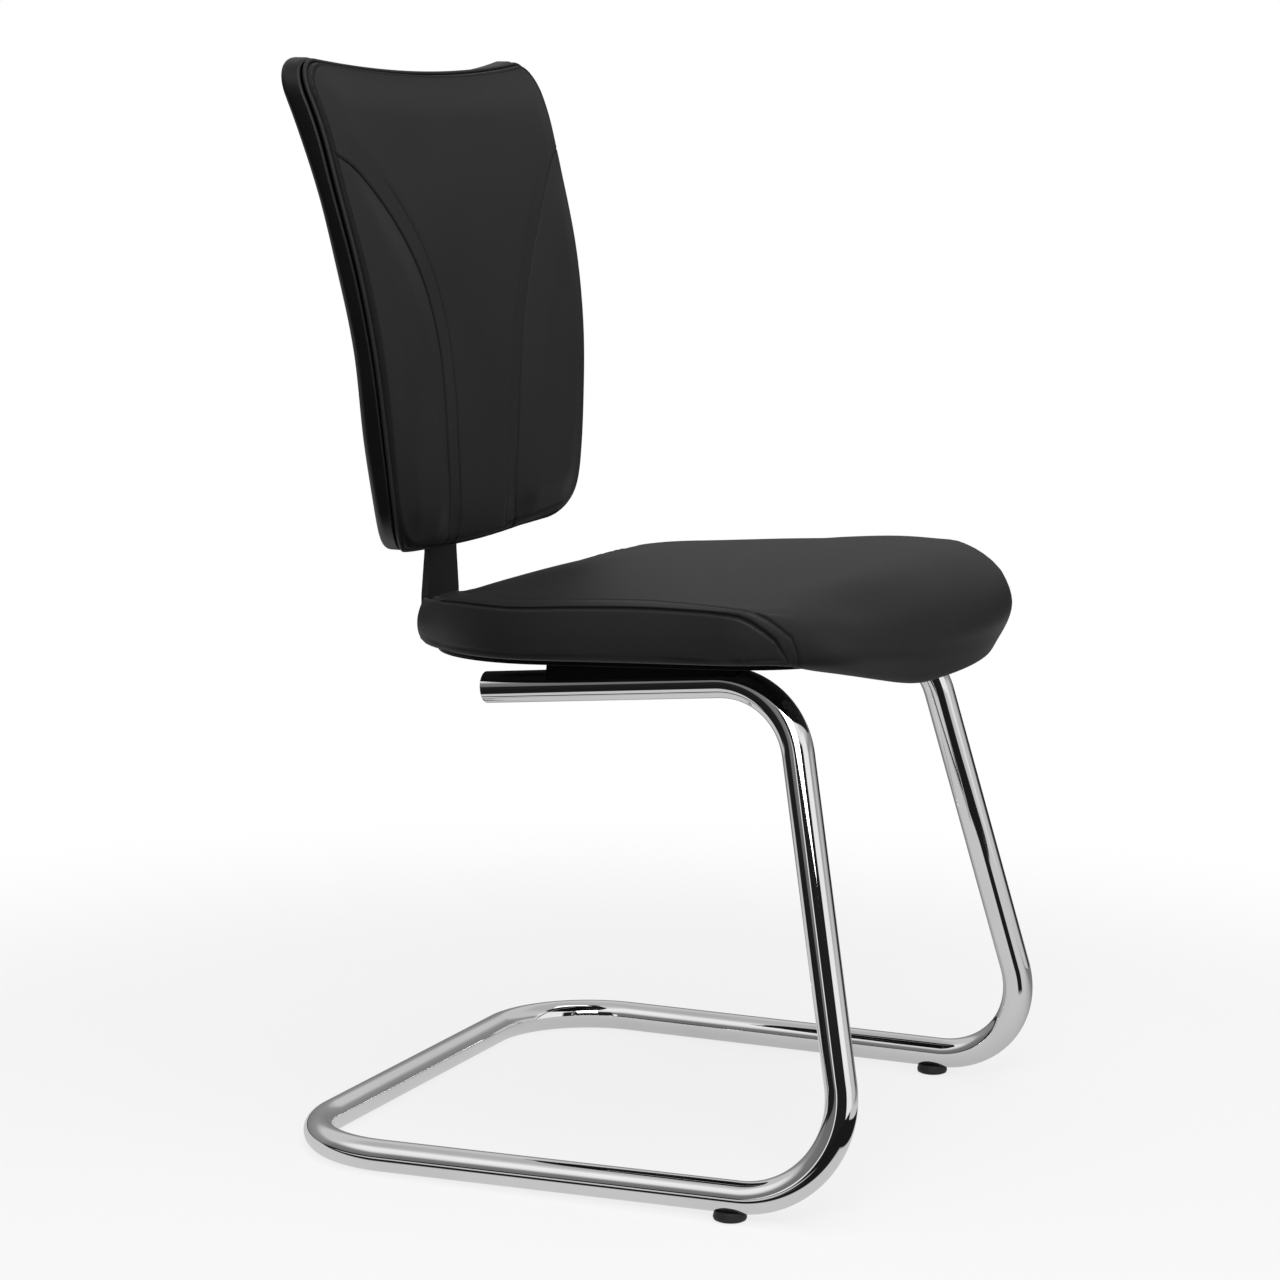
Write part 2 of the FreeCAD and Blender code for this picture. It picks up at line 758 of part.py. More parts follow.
def bend_edges(body, name, y, radius):
    """Round the lowest edge across the strip at a place along Y."""
    found = []
    for number, edge in enumerate(body.Shape.Edges, start=1):
        ends = [vertex.Point for vertex in edge.Vertexes]
        if all(abs(point.y - size(y)) < 0.01 for point in ends):
            found.append((max(point.z for point in ends), number))
    carrier = body.Tip
    feature = body.newObject("PartDesign::Fillet", name)
    feature.Base = (carrier, ["Edge%d" % min(found)[1]])
    tie(feature, Radius=radius)
    doc.recompute()


def cut_through(body, sketch):
    feature = body.newObject("PartDesign::Pocket", sketch.Name + "_cut")
    feature.Profile = sketch
    feature.Type = "ThroughAll"
    feature.Midplane = True
    sketch.Visibility = False
    doc.recompute()


def round_corners(body):
    """Round the strip's two corners at its top end."""
    names = []
    for number, edge in enumerate(body.Shape.Edges, start=1):
        ends = [vertex.Point for vertex in edge.Vertexes]
        along_y = len(ends) == 2 and abs(ends[0].y - ends[1].y) > size("bar_thick") - 0.1
        if along_y and all(abs(point.z - size("bar_top")) < 0.01 for point in ends):
            names.append("Edge%d" % number)
    carrier = body.Tip
    feature = body.newObject("PartDesign::Fillet", "bar_top_corners")
    feature.Base = (carrier, names)
    tie(feature, Radius="bar_corner")
    doc.recompute()


back_bar()

# ---------------------------------------------------------------- the back's surfaces

# Each surface of the back is y = middle + wrap * (x / 200)^2, with the middle and the
# wrap given at eight heights. The wrap carries the sides forward round the sitter.
HEIGHTS = [465, 512, 560, 640, 700, 760, 810, 870]
FRONT = ([176.2, 176, 176, 178.5, 183, 192, 205.1, 229.1],
         [-20, -17.7, -15.4, -10.8, -4.1, 3, 4, 6])
INNER = ([203.6, 203.4, 203, 202.9, 204.9, 210, 219.6, 240.1],
         [-52.9, -45.8, -38.7, -27.4, -17.5, -7, -2.5, 3])
SHELL = ([225.2, 227.7, 229.5, 229.9, 229.9, 232, 237.1, 251.1],
         [-64.7, -56.8, -48.9, -38.6, -24.9, -12, -0.9, 8.7])


def back_surface(form, shift=0.0):
    """One smooth surface through the formula's points, moved back by the shift."""
    middles, wraps = form
    grid = []
    for x in (-260, -170, -85, 0, 85, 170, 260):
        grid.append([Vector(x, middle + wrap * (x / 200.0) ** 2 + shift, z)
                     for z, middle, wrap in zip(HEIGHTS, middles, wraps)])
    surface = Part.BSplineSurface()
    surface.interpolate(grid)
    return surface


def behind(form, shift=0.0):
    """Everything behind one of the back's surfaces."""
    return back_surface(form, shift).toShape().extrude(Vector(0, 300, 0))


def back_block(inset, mid_drop=0.0, horn_drop=0.0):
    """The back's outline seen from the front, carried through in depth.

    The top may be lowered, by one amount in the middle and one at the horns.
    """
    top, waist, low = size("back_top_half"), size("back_waist_half"), size("back_low_half")
    bottom = size("back_bottom_half")
    horn = size("back_top_horn") - inset - horn_drop
    top_mid = size("back_top_mid") - inset - mid_drop
    side = size("back_bottom_side") + inset

    def point(x, z):
        return Vector(x, 100, z)

    edges = [
        Part.Arc(point(-bottom + inset, side), point(0, size("back_bottom_mid") + inset),
                 point(bottom - inset, side)).toShape(),
        Part.Arc(point(inset - top, horn), point(0, top_mid),
                 point(top - inset, horn)).toShape()]
    for sign in (-1, 1):
        curve = Part.BSplineCurve()
        curve.interpolate([
            point(sign * (bottom - inset), side), point(sign * (low - inset), size("back_low_z")),
            point(sign * (waist - inset), size("back_waist_z")), point(sign * (top - inset), horn)])
        edges.append(curve.toShape())
    block = Part.Face(Part.Wire(Part.__sortEdges__(edges))).extrude(Vector(0, 250, 0))
    for z, name in ((horn, "back_top_corner"), (side, "back_low_corner")):
        corners = [edge for edge in block.Edges
                   if all(abs(vertex.Point.z - z) < 0.01 for vertex in edge.Vertexes)
                   and abs(edge.Vertexes[0].Point.y - edge.Vertexes[-1].Point.y) > 200]
        block = block.makeFillet(size(name) - inset / 2, corners)
    return block


def layer(front, rear, inset, *drops):
    """The part of the back's outline between two surfaces, each a form and a shift."""
    return back_block(inset, *drops).common(behind(*front)).cut(behind(*rear))


inner_thick = size("inner_thick")
margin = size("shell_margin")
wall = size("shell_wall")

# leather in front of the inner board
cushion_body = layer((FRONT,), (INNER,), 0)
solid("back_cover", cushion_body.cut(layer((FRONT, leather), (INNER, 5), leather)))

# piping round the cushion's rear edge
piping = size("piping")
cord = layer((INNER, -piping), (INNER,), loose - piping)
solid("back_piping", cord.cut(back_block(-loose)))

# ---------------------------------------------------------------- inner board and shell


def y_of(form, x, z, shift=0.0):
    """Where a surface stands at a place across and up."""
    line = Part.LineSegment(Vector(x, 0, z), Vector(x, 400, z)).toShape()
    skin = back_surface(form, shift).toShape()
    return line.distToShape(skin)[1][0][0].y


CLIPS = [(size(sign + "clip_x"), size(z)) for side, sign in SIDES
         for z in ("clip_low", "clip_high")]
BACK_BOLTS = [(size(sign + "bar_hole_x"), size(z)) for side, sign in SIDES
              for z in ("bar_back_low", "bar_back_high")]


def along_back(x, z, radius, low=150, high=260):
    """A round bar through the back, along Y."""
    return Part.makeCylinder(radius, high - low, Vector(x, low, z), Vector(0, 1, 0))


bolt_tip = size("bar_front_y + bar_thick - bar_back_length")
flange_room = size("tee_flange_dia / 2 + 1")
inner = layer((INNER,), (INNER, inner_thick), size("inner_inset"))
foam = layer((FRONT, leather + loose), (INNER, -loose), leather + loose)
for x, z in BACK_BOLTS:
    inner = inner.cut(along_back(x, z, barrel))
    inner = inner.cut(along_back(x, z, flange_room, high=y_of(INNER, x, z)))
    foam = foam.cut(along_back(x, z, flange_room, low=bolt_tip - loose))
solid("back_foam", foam)
for x, z in CLIPS:
    inner = inner.cut(along_back(x, z, size("clip_peg / 2 + hole_gap")))
solid("back_inner_board", inner)

rim = (INNER, size("rim_gap"))
drops = size("shell_mid_drop"), size("shell_horn_drop")
shell = layer(rim, (SHELL,), -margin, *drops)
shell = shell.cut(layer((INNER, -size("shell_inside")), (SHELL, -wall), wall - margin, *drops))
slot_half = size("bar_neck / 2 + slot_gap")
slot_low = size("bar_front_y - slot_gap")
slot_deep = size("bar_thick + 2 * slot_gap")
slot_tall = size("10 * shell_margin")
shell = shell.cut(Part.makeBox(
    2 * slot_half, slot_deep, slot_tall,
    Vector(-slot_half, slot_low, size("back_bottom_mid") - slot_tall / 2)))
solid("back_shell", shell)

clips = []
for x, z in CLIPS:
    clip = along_back(x, z, size("clip_dia / 2"))
    clip = clip.common(behind(INNER, inner_thick + loose)).cut(behind(SHELL, -wall - loose))
    root = y_of(INNER, x, z)
    clips.append(clip.fuse(along_back(x, z, size("clip_peg / 2"), root + size("clip_root"),
                                      root + size("clip_tip"))))
solid("shell_clips", Part.makeCompound(clips))

# ---------------------------------------------------------------- back bolts and nuts


def on_back(thing, x, y, z):
    """Place a piece with its own up along -Y, into the back."""
    lean_about_x(thing, 90)
    tie(thing, Placement__Base__x=x, Placement__Base__y=y, Placement__Base__z=z)


back_bolt = button_bolt("bar_back_bolt", "bar_back_length")
back_nut = tee_nut("back_tee_nut", "back_barrel")
copies("bar_back_bolts", back_bolt, [
    lambda link, sign=sign, z=z: on_back(link, sign + "bar_hole_x", "bar_front_y + bar_thick", z)
    for side, sign in SIDES for z in ("bar_back_low", "bar_back_high")])

copies("back_tee_nuts", back_nut, [
    lambda link, x=x, z=z: on_back(link, x, y_of(INNER, x, z), z) for x, z in BACK_BOLTS])

# ---------------------------------------------------------------- check and export

NODES = [
    "cantilever_frame", "tube_plug_left", "tube_plug_right", "front_glide_left",
    "front_glide_right", "seat_saddle_left", "seat_saddle_right", "rail_bolts_front",
    "rail_bolts_rear", "seat_underpan", "seat_board", "seat_foam", "seat_cover",
    "seat_tee_nuts", "back_bar", "bar_seat_bolts", "bar_back_bolts", "back_tee_nuts",
    "back_inner_board", "back_foam", "back_cover", "back_piping", "back_shell", "shell_clips"]

doc.recompute()
for thing in doc.Objects:
    if any(word in ("Invalid", "Error") for word in thing.State):
        raise RuntimeError("%s failed: %s" % (thing.Label, thing.State))

os.makedirs("parts", exist_ok=True)
for label in NODES:
    shape = doc.getObjectsByLabel(label)[0].Shape
    if shape.isNull() or not shape.isValid():
        raise RuntimeError("%s has no sound shape" % label)
    shape.exportStep("parts/%s.step" % label)
    box = shape.BoundBox
    print("%-20s %2d solids %9.0f mm3  x %7.1f %7.1f  y %7.1f %7.1f  z %7.1f %7.1f" % (
        label, len(shape.Solids), shape.Volume,
        box.XMin, box.XMax, box.YMin, box.YMax, box.ZMin, box.ZMax))
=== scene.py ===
# %% [markdown]
# # A cantilever visitor chair, surface by surface
# The real chair is one bent and chromed steel tube that carries a padded leather seat, and a
# flat steel bar that carries a padded back in a moulded shell. The engineering model of the
# chair is the fixed frame of this scene. It has every piece at its true place, and this lesson
# gives the pieces their looks: smooth tubes, sewn leather, moulded edges and finishes.
# Shapes are worked out in millimetres, as a maker would draw them, and become metres only
# when they are turned into meshes.

# %% Load the fixed frame
import json
import math

import bmesh
import bpy
import numpy as np
from mathutils import Matrix, Vector

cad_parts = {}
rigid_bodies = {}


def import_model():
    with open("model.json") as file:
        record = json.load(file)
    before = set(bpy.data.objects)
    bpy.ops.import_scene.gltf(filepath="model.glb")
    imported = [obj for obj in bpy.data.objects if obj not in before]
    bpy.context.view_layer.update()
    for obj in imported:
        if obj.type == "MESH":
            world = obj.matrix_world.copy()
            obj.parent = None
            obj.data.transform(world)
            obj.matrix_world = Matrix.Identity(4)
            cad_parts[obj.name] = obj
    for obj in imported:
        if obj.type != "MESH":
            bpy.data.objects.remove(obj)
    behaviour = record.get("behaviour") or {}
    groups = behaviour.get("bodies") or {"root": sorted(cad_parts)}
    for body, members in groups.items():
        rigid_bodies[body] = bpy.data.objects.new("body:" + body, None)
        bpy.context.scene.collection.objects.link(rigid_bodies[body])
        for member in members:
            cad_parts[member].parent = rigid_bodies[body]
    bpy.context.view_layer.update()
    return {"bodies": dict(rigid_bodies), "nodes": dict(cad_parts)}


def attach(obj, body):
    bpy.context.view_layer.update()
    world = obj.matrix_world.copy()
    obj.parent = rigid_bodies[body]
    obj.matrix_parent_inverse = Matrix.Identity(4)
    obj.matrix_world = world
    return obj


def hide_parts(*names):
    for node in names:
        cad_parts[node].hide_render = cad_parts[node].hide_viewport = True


bpy.ops.wm.read_factory_settings(use_empty=True)
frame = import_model()

MM = 0.001
BODY = next(iter(frame["bodies"]))

# %% [markdown]
# ## The camera
# A long lens from a little above the seat keeps the tube's straight runs nearly parallel.
# The camera is turned by three angles: round the chair, down, and a slight roll. Building
# its axes by hand from those angles shows what a camera matrix holds: right, up and back.

# %% Camera
CAMERA_PLACE = (-2.7327, -1.1491, 0.8521)
CAMERA_AROUND = math.radians(-66.637)
CAMERA_ABOVE = math.radians(8.693)
CAMERA_ROLL = math.radians(0.829)
SENSOR = 36.0
LENS = 104.0625

back = Vector((math.sin(CAMERA_AROUND) * math.cos(CAMERA_ABOVE),
               -math.cos(CAMERA_AROUND) * math.cos(CAMERA_ABOVE),
               math.sin(CAMERA_ABOVE)))
level_right = Vector((0, 0, 1)).cross(back).normalized()
right = Matrix.Rotation(CAMERA_ROLL, 3, back) @ level_right
upward = back.cross(right)
camera_data = bpy.data.cameras.new("camera")
camera_data.sensor_width = SENSOR
camera_data.lens = LENS
camera = bpy.data.objects.new("camera", camera_data)
bpy.context.scene.collection.objects.link(camera)
camera.matrix_world = (Matrix.Translation(CAMERA_PLACE)
                       @ Matrix((right, upward, back)).transposed().to_4x4())
bpy.context.scene.camera = camera
bpy.context.scene.view_settings.view_transform = "Standard"
print("camera %.2f m from the origin, lens %.0f mm" % (Vector(CAMERA_PLACE).length, LENS))

# %% [markdown]
# ## Shader arithmetic
# A material is a sum of small formulas. Wiring Math nodes by hand hides the formula, so one
# small class stands for a socket and adds the nodes when Python does arithmetic on it.


# %% A socket that does arithmetic
class Wire:
    """One output socket. Arithmetic on it adds Math nodes; make() adds any other node."""

    def __init__(self, tree, socket=None):
        self.tree = tree
        self.socket = socket

    def make(self, kind, settings, inputs, output=""):
        """Add a ShaderNode: settings first, then values or links by socket identifier."""
        node = self.tree.nodes.new("ShaderNode" + kind)
        for key, value in settings.items():
            if key == "stops":
                while len(node.color_ramp.elements) < len(value):
                    node.color_ramp.elements.new(1.0)
                for element, (place, tone) in zip(node.color_ramp.elements, value):
                    element.position = place
                    element.color = (tone, tone, tone, 1.0)
            else:
                setattr(node, key, value)
        for key, value in inputs.items():
            socket = next(s for s in node.inputs if s.identifier == key)
            if isinstance(value, Wire):
                self.tree.links.new(value.socket, socket)
            else:
                socket.default_value = value
        found = [s for s in node.outputs if s.identifier == output] or list(node.outputs)
        return Wire(self.tree, found[0]) if found else None

    def output(self, name):
        """Another output of the same node."""
        return Wire(self.tree, self.socket.node.outputs[name])

    def math(self, operation, first, second=0.0):
        """One Math node on two values."""
        return self.make("Math", {"operation": operation}, {"Value": first, "Value_001": second})

    def __add__(self, other):
        return self.math("ADD", self, other)

    def __mul__(self, other):
        return self.math("MULTIPLY", self, other)

    def __sub__(self, other):
        return self.math("SUBTRACT", self, other)

    def __rsub__(self, other):
        return self.math("SUBTRACT", other, self)

    def __truediv__(self, other):
        return self.math("DIVIDE", self, other)

    __radd__, __rmul__ = __add__, __mul__

    def between(self, low, high):
        """0 below low, 1 above high, and a smooth step from one to the other."""
        return self.make("MapRange", {"interpolation_type": "SMOOTHSTEP"},
                         {"Value": self, "From Min": low, "From Max": high})

    def band(self, rise, fall):
        """1 inside a band: 0 to 1 over the first pair of values, back over the second."""
        return self.between(*rise) * (1 - self.between(*fall))

    def ramp(self, stops):
        """A grey that runs through stops of (value, tone)."""
        return self.make("ValToRGB", {"stops": stops}, {"Fac": self}, "Color")

    def mix(self, first, second):
        """The first colour where this value is 0, the second where it is 1."""
        return self.make("Mix", {"data_type": "RGBA"},
                         {"Factor_Float": self, "A_Color": first, "B_Color": second},
                         "Result_Color")


def grey(value):
    """A colour with red, green and blue all at one value."""
    return (value, value, value, 1.0)


def emptied(owner):
    """The node tree of a world or material, cleared, as a wire to start from."""
    owner.use_nodes = True
    owner.node_tree.nodes.clear()
    return Wire(owner.node_tree)


def about(middle, soft):
    """The pair of values between which a soft edge at the middle rises."""
    return middle - soft, middle + soft


# %% [markdown]
# ## The studio
# Metal shows nothing of its own but what stands round it, so rays that leave a mirror see a
# studio of walls and screens. The far walls have a dark gap just under the horizon, are dim
# above it and pale overhead. The near ones are dark to just over the horizon, dim above it and
# bright overhead. A dark zone on the camera's side draws the long black lines on the tube. A
# white strip beside it, and a screen in front, draw the bright ones. Soft surfaces see an even
# grey, and the camera sees plain white.

# %% World
# Tones of the walls by height, where 0 is straight down, 0.5 the horizon and 1 straight up.
FAR_WALLS = ((0.0, 0.70), (0.40, 0.62), (0.43, 0.02), (0.505, 0.02), (0.52, 0.24), (0.60, 0.26),
             (0.68, 0.32), (0.74, 0.62), (0.86, 0.62), (0.92, 0.5), (1.0, 0.5))
NEAR_WALLS = ((0.20, 0.70), (0.22, 0.015), (0.53, 0.015), (0.54, 0.16), (0.70, 0.22),
              (0.80, 0.9), (0.90, 1.0), (0.94, 0.75), (1.0, 0.5))
# Soft edges, each a pair of parts of the unit direction, and the tone inside them.
NEAR_EDGE = (0.0, 0.35)
FRONT_EDGE, FRONT_REACH, FRONT_TONE = (0.55, 0.85), (0.02, 0.09), 0.6
SCREEN_EDGE, SCREEN_END, SCREEN_TONE = (0.66, 0.70), (0.0, 0.2), 0.95
SCREEN_HEIGHT = (-0.12, -0.02), (0.55, 0.65)
DARK_EDGE, DARK_TONE = about(math.cos(math.radians(34)), 0.02), 0.015
DARK_HEIGHT = (-0.28, -0.22), (0.46, 0.52)
STRIP_EDGE, STRIP_TONE = about(math.cos(math.radians(40)), 0.01), 1.0
STRIP_HEIGHT = (-0.1, 0.0), (0.2, 0.3)
SOFT_LIGHT = 0.45

world = bpy.data.worlds.new("studio")
bpy.context.scene.world = world
start = emptied(world)
ray = start.make("LightPath", {}, {}, "Is Camera Ray")
glossy = ray.output("Is Glossy Ray")
direction = start.make("TexCoord", {}, {}, "Generated")
east = start.make("SeparateXYZ", {}, {"Vector": direction}, "X")
north, height = east.output("Y"), east.output("Z")
south, level = north * -1, height * 0.5 + 0.5
reach = start.math("SQRT", east * east + north * north + 0.0001)
toward = (east * math.sin(CAMERA_AROUND) - north * math.cos(CAMERA_AROUND)) / reach

seen = (east * -1).between(*NEAR_EDGE).mix(level.ramp(FAR_WALLS), level.ramp(NEAR_WALLS))
front = south.between(*FRONT_EDGE) * (1 - (height * height).between(*FRONT_REACH))
screen = (south.between(*SCREEN_EDGE) * (1 - east.between(*SCREEN_END))
          * height.band(*SCREEN_HEIGHT))
strip = toward.band(STRIP_EDGE, DARK_EDGE) * height.band(*STRIP_HEIGHT)
dark = toward.between(*DARK_EDGE) * height.band(*DARK_HEIGHT)
for mask, tone in ((front, FRONT_TONE), (screen, SCREEN_TONE), (strip, STRIP_TONE),
                   (dark, DARK_TONE)):
    seen = mask.mix(seen, grey(tone))
shown = ray.mix(glossy.mix(grey(SOFT_LIGHT), seen), grey(1.0))
background = start.make("Background", {}, {"Color": shown}, "Background")
start.make("OutputWorld", {}, {"Surface": background})
print("studio:", len(world.node_tree.nodes), "nodes")

# %% [markdown]
# ## From points to a mesh
# Every new piece here is a grid of points, rows by columns, with a quad between each four
# neighbours. Where a grid closes on itself, or a whole row is one point, the doubled points
# are merged, which closes seams and poles.


# %% Mesh helpers
def joined(*parts):
    """Arrays of one coordinate each, as one array of points."""
    return np.stack(parts, -1)


def unit(vectors):
    """Every vector over its own length."""
    return vectors / np.maximum(np.linalg.norm(vectors, axis=-1, keepdims=True), 1e-9)


def stacked(grids):
    """Points and quads of several grids as one set."""
    points, quads, count = [], [], 0
    for grid in grids:
        rows, columns = grid.shape[:2]
        index = count + np.arange(rows * columns).reshape(rows, columns)
        quads.append(np.stack([index[:-1, :-1], index[:-1, 1:], index[1:, 1:], index[1:, :-1]],
                              -1).reshape(-1, 4))
        points.append(grid.reshape(-1, 3))
        count += rows * columns
    return np.concatenate(points), np.concatenate(quads)


def weld(mesh, reach=1e-6):
    """Merge doubled points and turn all faces outwards."""
    shape = bmesh.new()
    shape.from_mesh(mesh)
    bmesh.ops.remove_doubles(shape, verts=shape.verts, dist=reach)
    bmesh.ops.dissolve_degenerate(shape, edges=shape.edges, dist=reach)
    bmesh.ops.recalc_face_normals(shape, faces=shape.faces)
    shape.to_mesh(mesh)
    shape.free()
    mesh.shade_smooth()


def quad_mesh(name, points, quads, crease=None):
    """An object from points and quads. The last argument is one number per point: painted shade.
    """
    mesh = bpy.data.meshes.new(name)
    mesh.from_pydata(points.tolist(), [], quads.tolist())
    if crease is not None:
        layer = mesh.attributes.new("crease", "FLOAT", "POINT")
        layer.data.foreach_set("value", np.ravel(crease).astype(np.float32))
    weld(mesh)
    piece = bpy.data.objects.new(name, mesh)
    bpy.context.scene.collection.objects.link(piece)
    return piece


def grid_mesh(name, grid, scale=MM, crease=None):
    """An object from one grid of points."""
    points, quads = stacked([grid])
    return quad_mesh(name, points * scale, quads, crease)


# %% [markdown]
# ## Floor and lamps
# The floor is a pale disc. The camera sees it white with only a faint shadow, which fades out
# before the disc's edge. Metal sees it grey, with dark cloths on it: one far out on the near
# side, one strip beside the near floor run, a lane towards the camera's side and a fan from
# the near leg. They draw the dark lines low on the tube. One broad lamp hangs overhead, and one
# stands to the side, which models the panels.

# %% Floor
FLOOR_RADIUS, FLOOR_DROP = 1.6, 0.0003
SHADOW_SHARE, SHADOW_FADES = 0.24, (0.6, 1.3)
FAR_CLOTH, FAR_CLOTH_END = about(0.58, 0.02), (-0.35, -0.25)
STRIP_CLOTH = (-0.34, -0.33), (-0.285, -0.275)
CAMERA_WAY = -0.92, -0.39
LANE, LANE_STARTS = ((0.0, 0.04), (0.26, 0.30)), (0.36, 0.40)
FAN, FAN_STARTS, FAN_TIP = ((-0.21, -0.17), (0.38, 0.46)), (0.0, 0.03), (0.32, -0.114)
CLOTH_TONE, LEFT_TONE, RIGHT_TONE, TONES_MEET = 0.012, 0.68, 0.20, (0.1, 0.55)
SHADED_PAINT, SEEN_PAINT, PAINT_IN_METAL = 0.5, 0.9, 0.15


def disc(name, radius, rings=24, spokes=96):
    """Points at r (cos a, sin a), r and a stepped evenly, just under the floor's plane."""
    a, r = np.meshgrid(np.linspace(0, 2 * math.pi, spokes + 1), np.linspace(0, radius, rings))
    return grid_mesh(name, joined(r * np.cos(a), r * np.sin(a), 0 * a - FLOOR_DROP), 1.0)


floor = disc("floor", FLOOR_RADIUS)
floor_look = bpy.data.materials.new("pale_floor")
start = emptied(floor_look)
ray = start.make("LightPath", {}, {}, "Is Camera Ray")
glossy = ray.output("Is Glossy Ray")
place = start.make("TexCoord", {}, {}, "Object")
x = start.make("SeparateXYZ", {}, {"Vector": place}, "X")
y = x.output("Y")
from_middle = start.make("VectorMath", {"operation": "LENGTH"}, {"Vector": place}, "Value")
outward = x * CAMERA_WAY[0] + y * CAMERA_WAY[1]
sideways = x * -CAMERA_WAY[1] + y * CAMERA_WAY[0]
slope = (sideways - FAN_TIP[0]) / (outward - FAN_TIP[1])
dark = from_middle.between(*FAR_CLOTH) * (1 - x.between(*FAR_CLOTH_END))
for mask in (x.band(*STRIP_CLOTH), sideways.band(*LANE) * outward.between(*LANE_STARTS),
             slope.band(*FAN) * outward.between(*FAN_STARTS)):
    dark = start.math("MAXIMUM", dark, mask)
tone = x.between(*TONES_MEET).mix(grey(LEFT_TONE), grey(RIGHT_TONE))
glow = start.make("Emission", {},
                  {"Color": glossy.mix(grey(1.0), dark.mix(tone, grey(CLOTH_TONE)))})
painted = start.make("BsdfDiffuse", {}, {"Color": ray.mix(grey(SHADED_PAINT), grey(SEEN_PAINT))})
share = ((1 - ray) * (1 - glossy) + glossy * (1 - dark) * PAINT_IN_METAL
         + ray * (1 - from_middle.between(*SHADOW_FADES)) * SHADOW_SHARE)
look = start.make("MixShader", {}, {"Fac": share, "Shader": glow, "Shader_001": painted})
start.make("OutputMaterial", {}, {"Surface": look})
floor.data.materials.append(floor_look)
print("floor:", len(floor.data.polygons), "faces")

# %% Lamps
LAMPS = {"overhead": ((-0.4, -0.6, 2.5), 1.8, 14), "side": ((-2.2, -0.9, 1.8), 1.4, 30)}
LIT_POINT = Vector((0, 0, 0.5))
for name, (place, width, power) in LAMPS.items():
    data = bpy.data.lights.new(name, "AREA")
    data.size, data.energy = width, power
    lamp = bpy.data.objects.new(name, data)
    lamp.location = place
    lamp.rotation_euler = (LIT_POINT - lamp.location).to_track_quat("-Z", "Y").to_euler()
    bpy.context.scene.collection.objects.link(lamp)
    print("lamp %s: %.1f m wide, %d W" % (name, width, power))

# %% [markdown]
# ## Finishes
# Every finish starts from the same Principled shader. A value that is the same all over is
# set on the shader's own socket, and only what varies over the surface is wired.


# %% Material helper
def finish(name, varying, **fixed):
    """A Principled material: fixed socket values by name, and a function that wires the rest."""
    look = bpy.data.materials.new(name)
    look.use_nodes = True
    tree = look.node_tree
    shader = next(n for n in tree.nodes if n.type == "BSDF_PRINCIPLED")
    for key, value in fixed.items():
        shader.inputs[key.replace("_", " ")].default_value = value
    start = Wire(tree)
    place = start.make("TexCoord", {}, {}, "Object")
    for key, wire in varying(place).items():
        tree.links.new(wire.socket, shader.inputs[key])
    return look


def noise(place, scale, detail=3.0, rough=0.5):
    """Soft noise: its scale is about the number of patches in a metre."""
    return place.make("TexNoise", {},
                      {"Vector": place, "Scale": scale, "Detail": detail, "Roughness": rough})


def cells(place, scale, feature="F1"):
    """Distance to the nearest of many scattered points, which looks like grains or pores."""
    return place.make("TexVoronoi", {"feature": feature}, {"Vector": place, "Scale": scale})


def bump(height, depth, strength=1.0):
    """A Normal wire from a height wire; depth is the height's full relief in metres."""
    return height.make("Bump", {}, {"Height": height, "Distance": depth, "Strength": strength})


# %% [markdown]
# Chrome is a mirror with almost no colour. What gives it away as real is a very faint waviness
# of the bent tube, some fine polishing haze and a few duller patches.

# %% Chrome
def chrome_lines(place):
    """Tone and gloss follow broad haze and fine scratches, and relief is a slow wave."""
    haze = noise(place, 9.0, 2.0)
    fine = noise(place, 420.0, 2.0)
    return {
        "Base Color": haze.between(0.3, 0.7).mix(grey(0.80), grey(0.86)),
        "Roughness": 0.022 + haze.between(0.35, 0.75) * 0.022 + fine * 0.01,
        "Normal": bump(noise(place, 14.0, 1.0), 0.0004, 0.25),
    }


chrome = finish("chrome", chrome_lines, Metallic=1.0)


# %% [markdown]
# The leather is smooth and black, with a fine pebble grain. Its pores are small closed cells,
# and its sheen drifts a little over the hide. Seams and edges get painted shade, near black.

# %% Leather
def leather_lines(place):
    """Relief is 0.7 pebbles + 0.2 pores + 0.3 fibres; tone follows the hide and painted shade."""
    pebbles = cells(place, 620.0, "SMOOTH_F1")
    pores = cells(place, 1500.0)
    hide = noise(place, 7.0, 3.0)
    fibres = noise(place, 260.0, 4.0)
    # The mesh's painted-shade value per point: up to 1 in seams and at edges, where shade is
    # painted.
    crease = place.make("Attribute",
                        {"attribute_type": "GEOMETRY", "attribute_name": "crease"}, {}, "Fac")
    tone = hide.between(0.3, 0.7).mix((0.0140, 0.0140, 0.0143, 1), (0.0180, 0.0180, 0.0184, 1))
    return {
        # Painted shade: the colour goes to near black where the painted-shade value is 1.
        "Base Color": crease.mix(tone, (0.004, 0.004, 0.004, 1)),
        "Roughness": 0.40 + hide * 0.08 + fibres * 0.06 + crease * 0.2,
        "Normal": bump(pebbles * 0.7 + pores * 0.2 + fibres * 0.3, 0.00012, 0.55),
    }


leather = finish("black_leather", leather_lines, IOR=1.45, Specular_IOR_Level=0.29)


# %% [markdown]
# Moulded plastic keeps a fine spark-eroded texture from its mould, and a painted bar has the
# softer orange peel of baked powder. Both are noise at their own scale.

# %% Plastics, paint, wood, foam and zinc
def moulded(dark, light, grain, rough):
    """Broad patches between two tones, and the grit of a mould at its own scale."""
    def lines(place):
        patches = noise(place, 11.0)
        grit = noise(place, grain, 3.0, 0.6)
        return {
            "Base Color": patches.between(0.3, 0.7).mix(grey(dark), grey(light)),
            "Roughness": rough + patches * 0.05 + grit * 0.06,
            "Normal": bump(grit, 0.00006, 0.6),
        }
    return lines


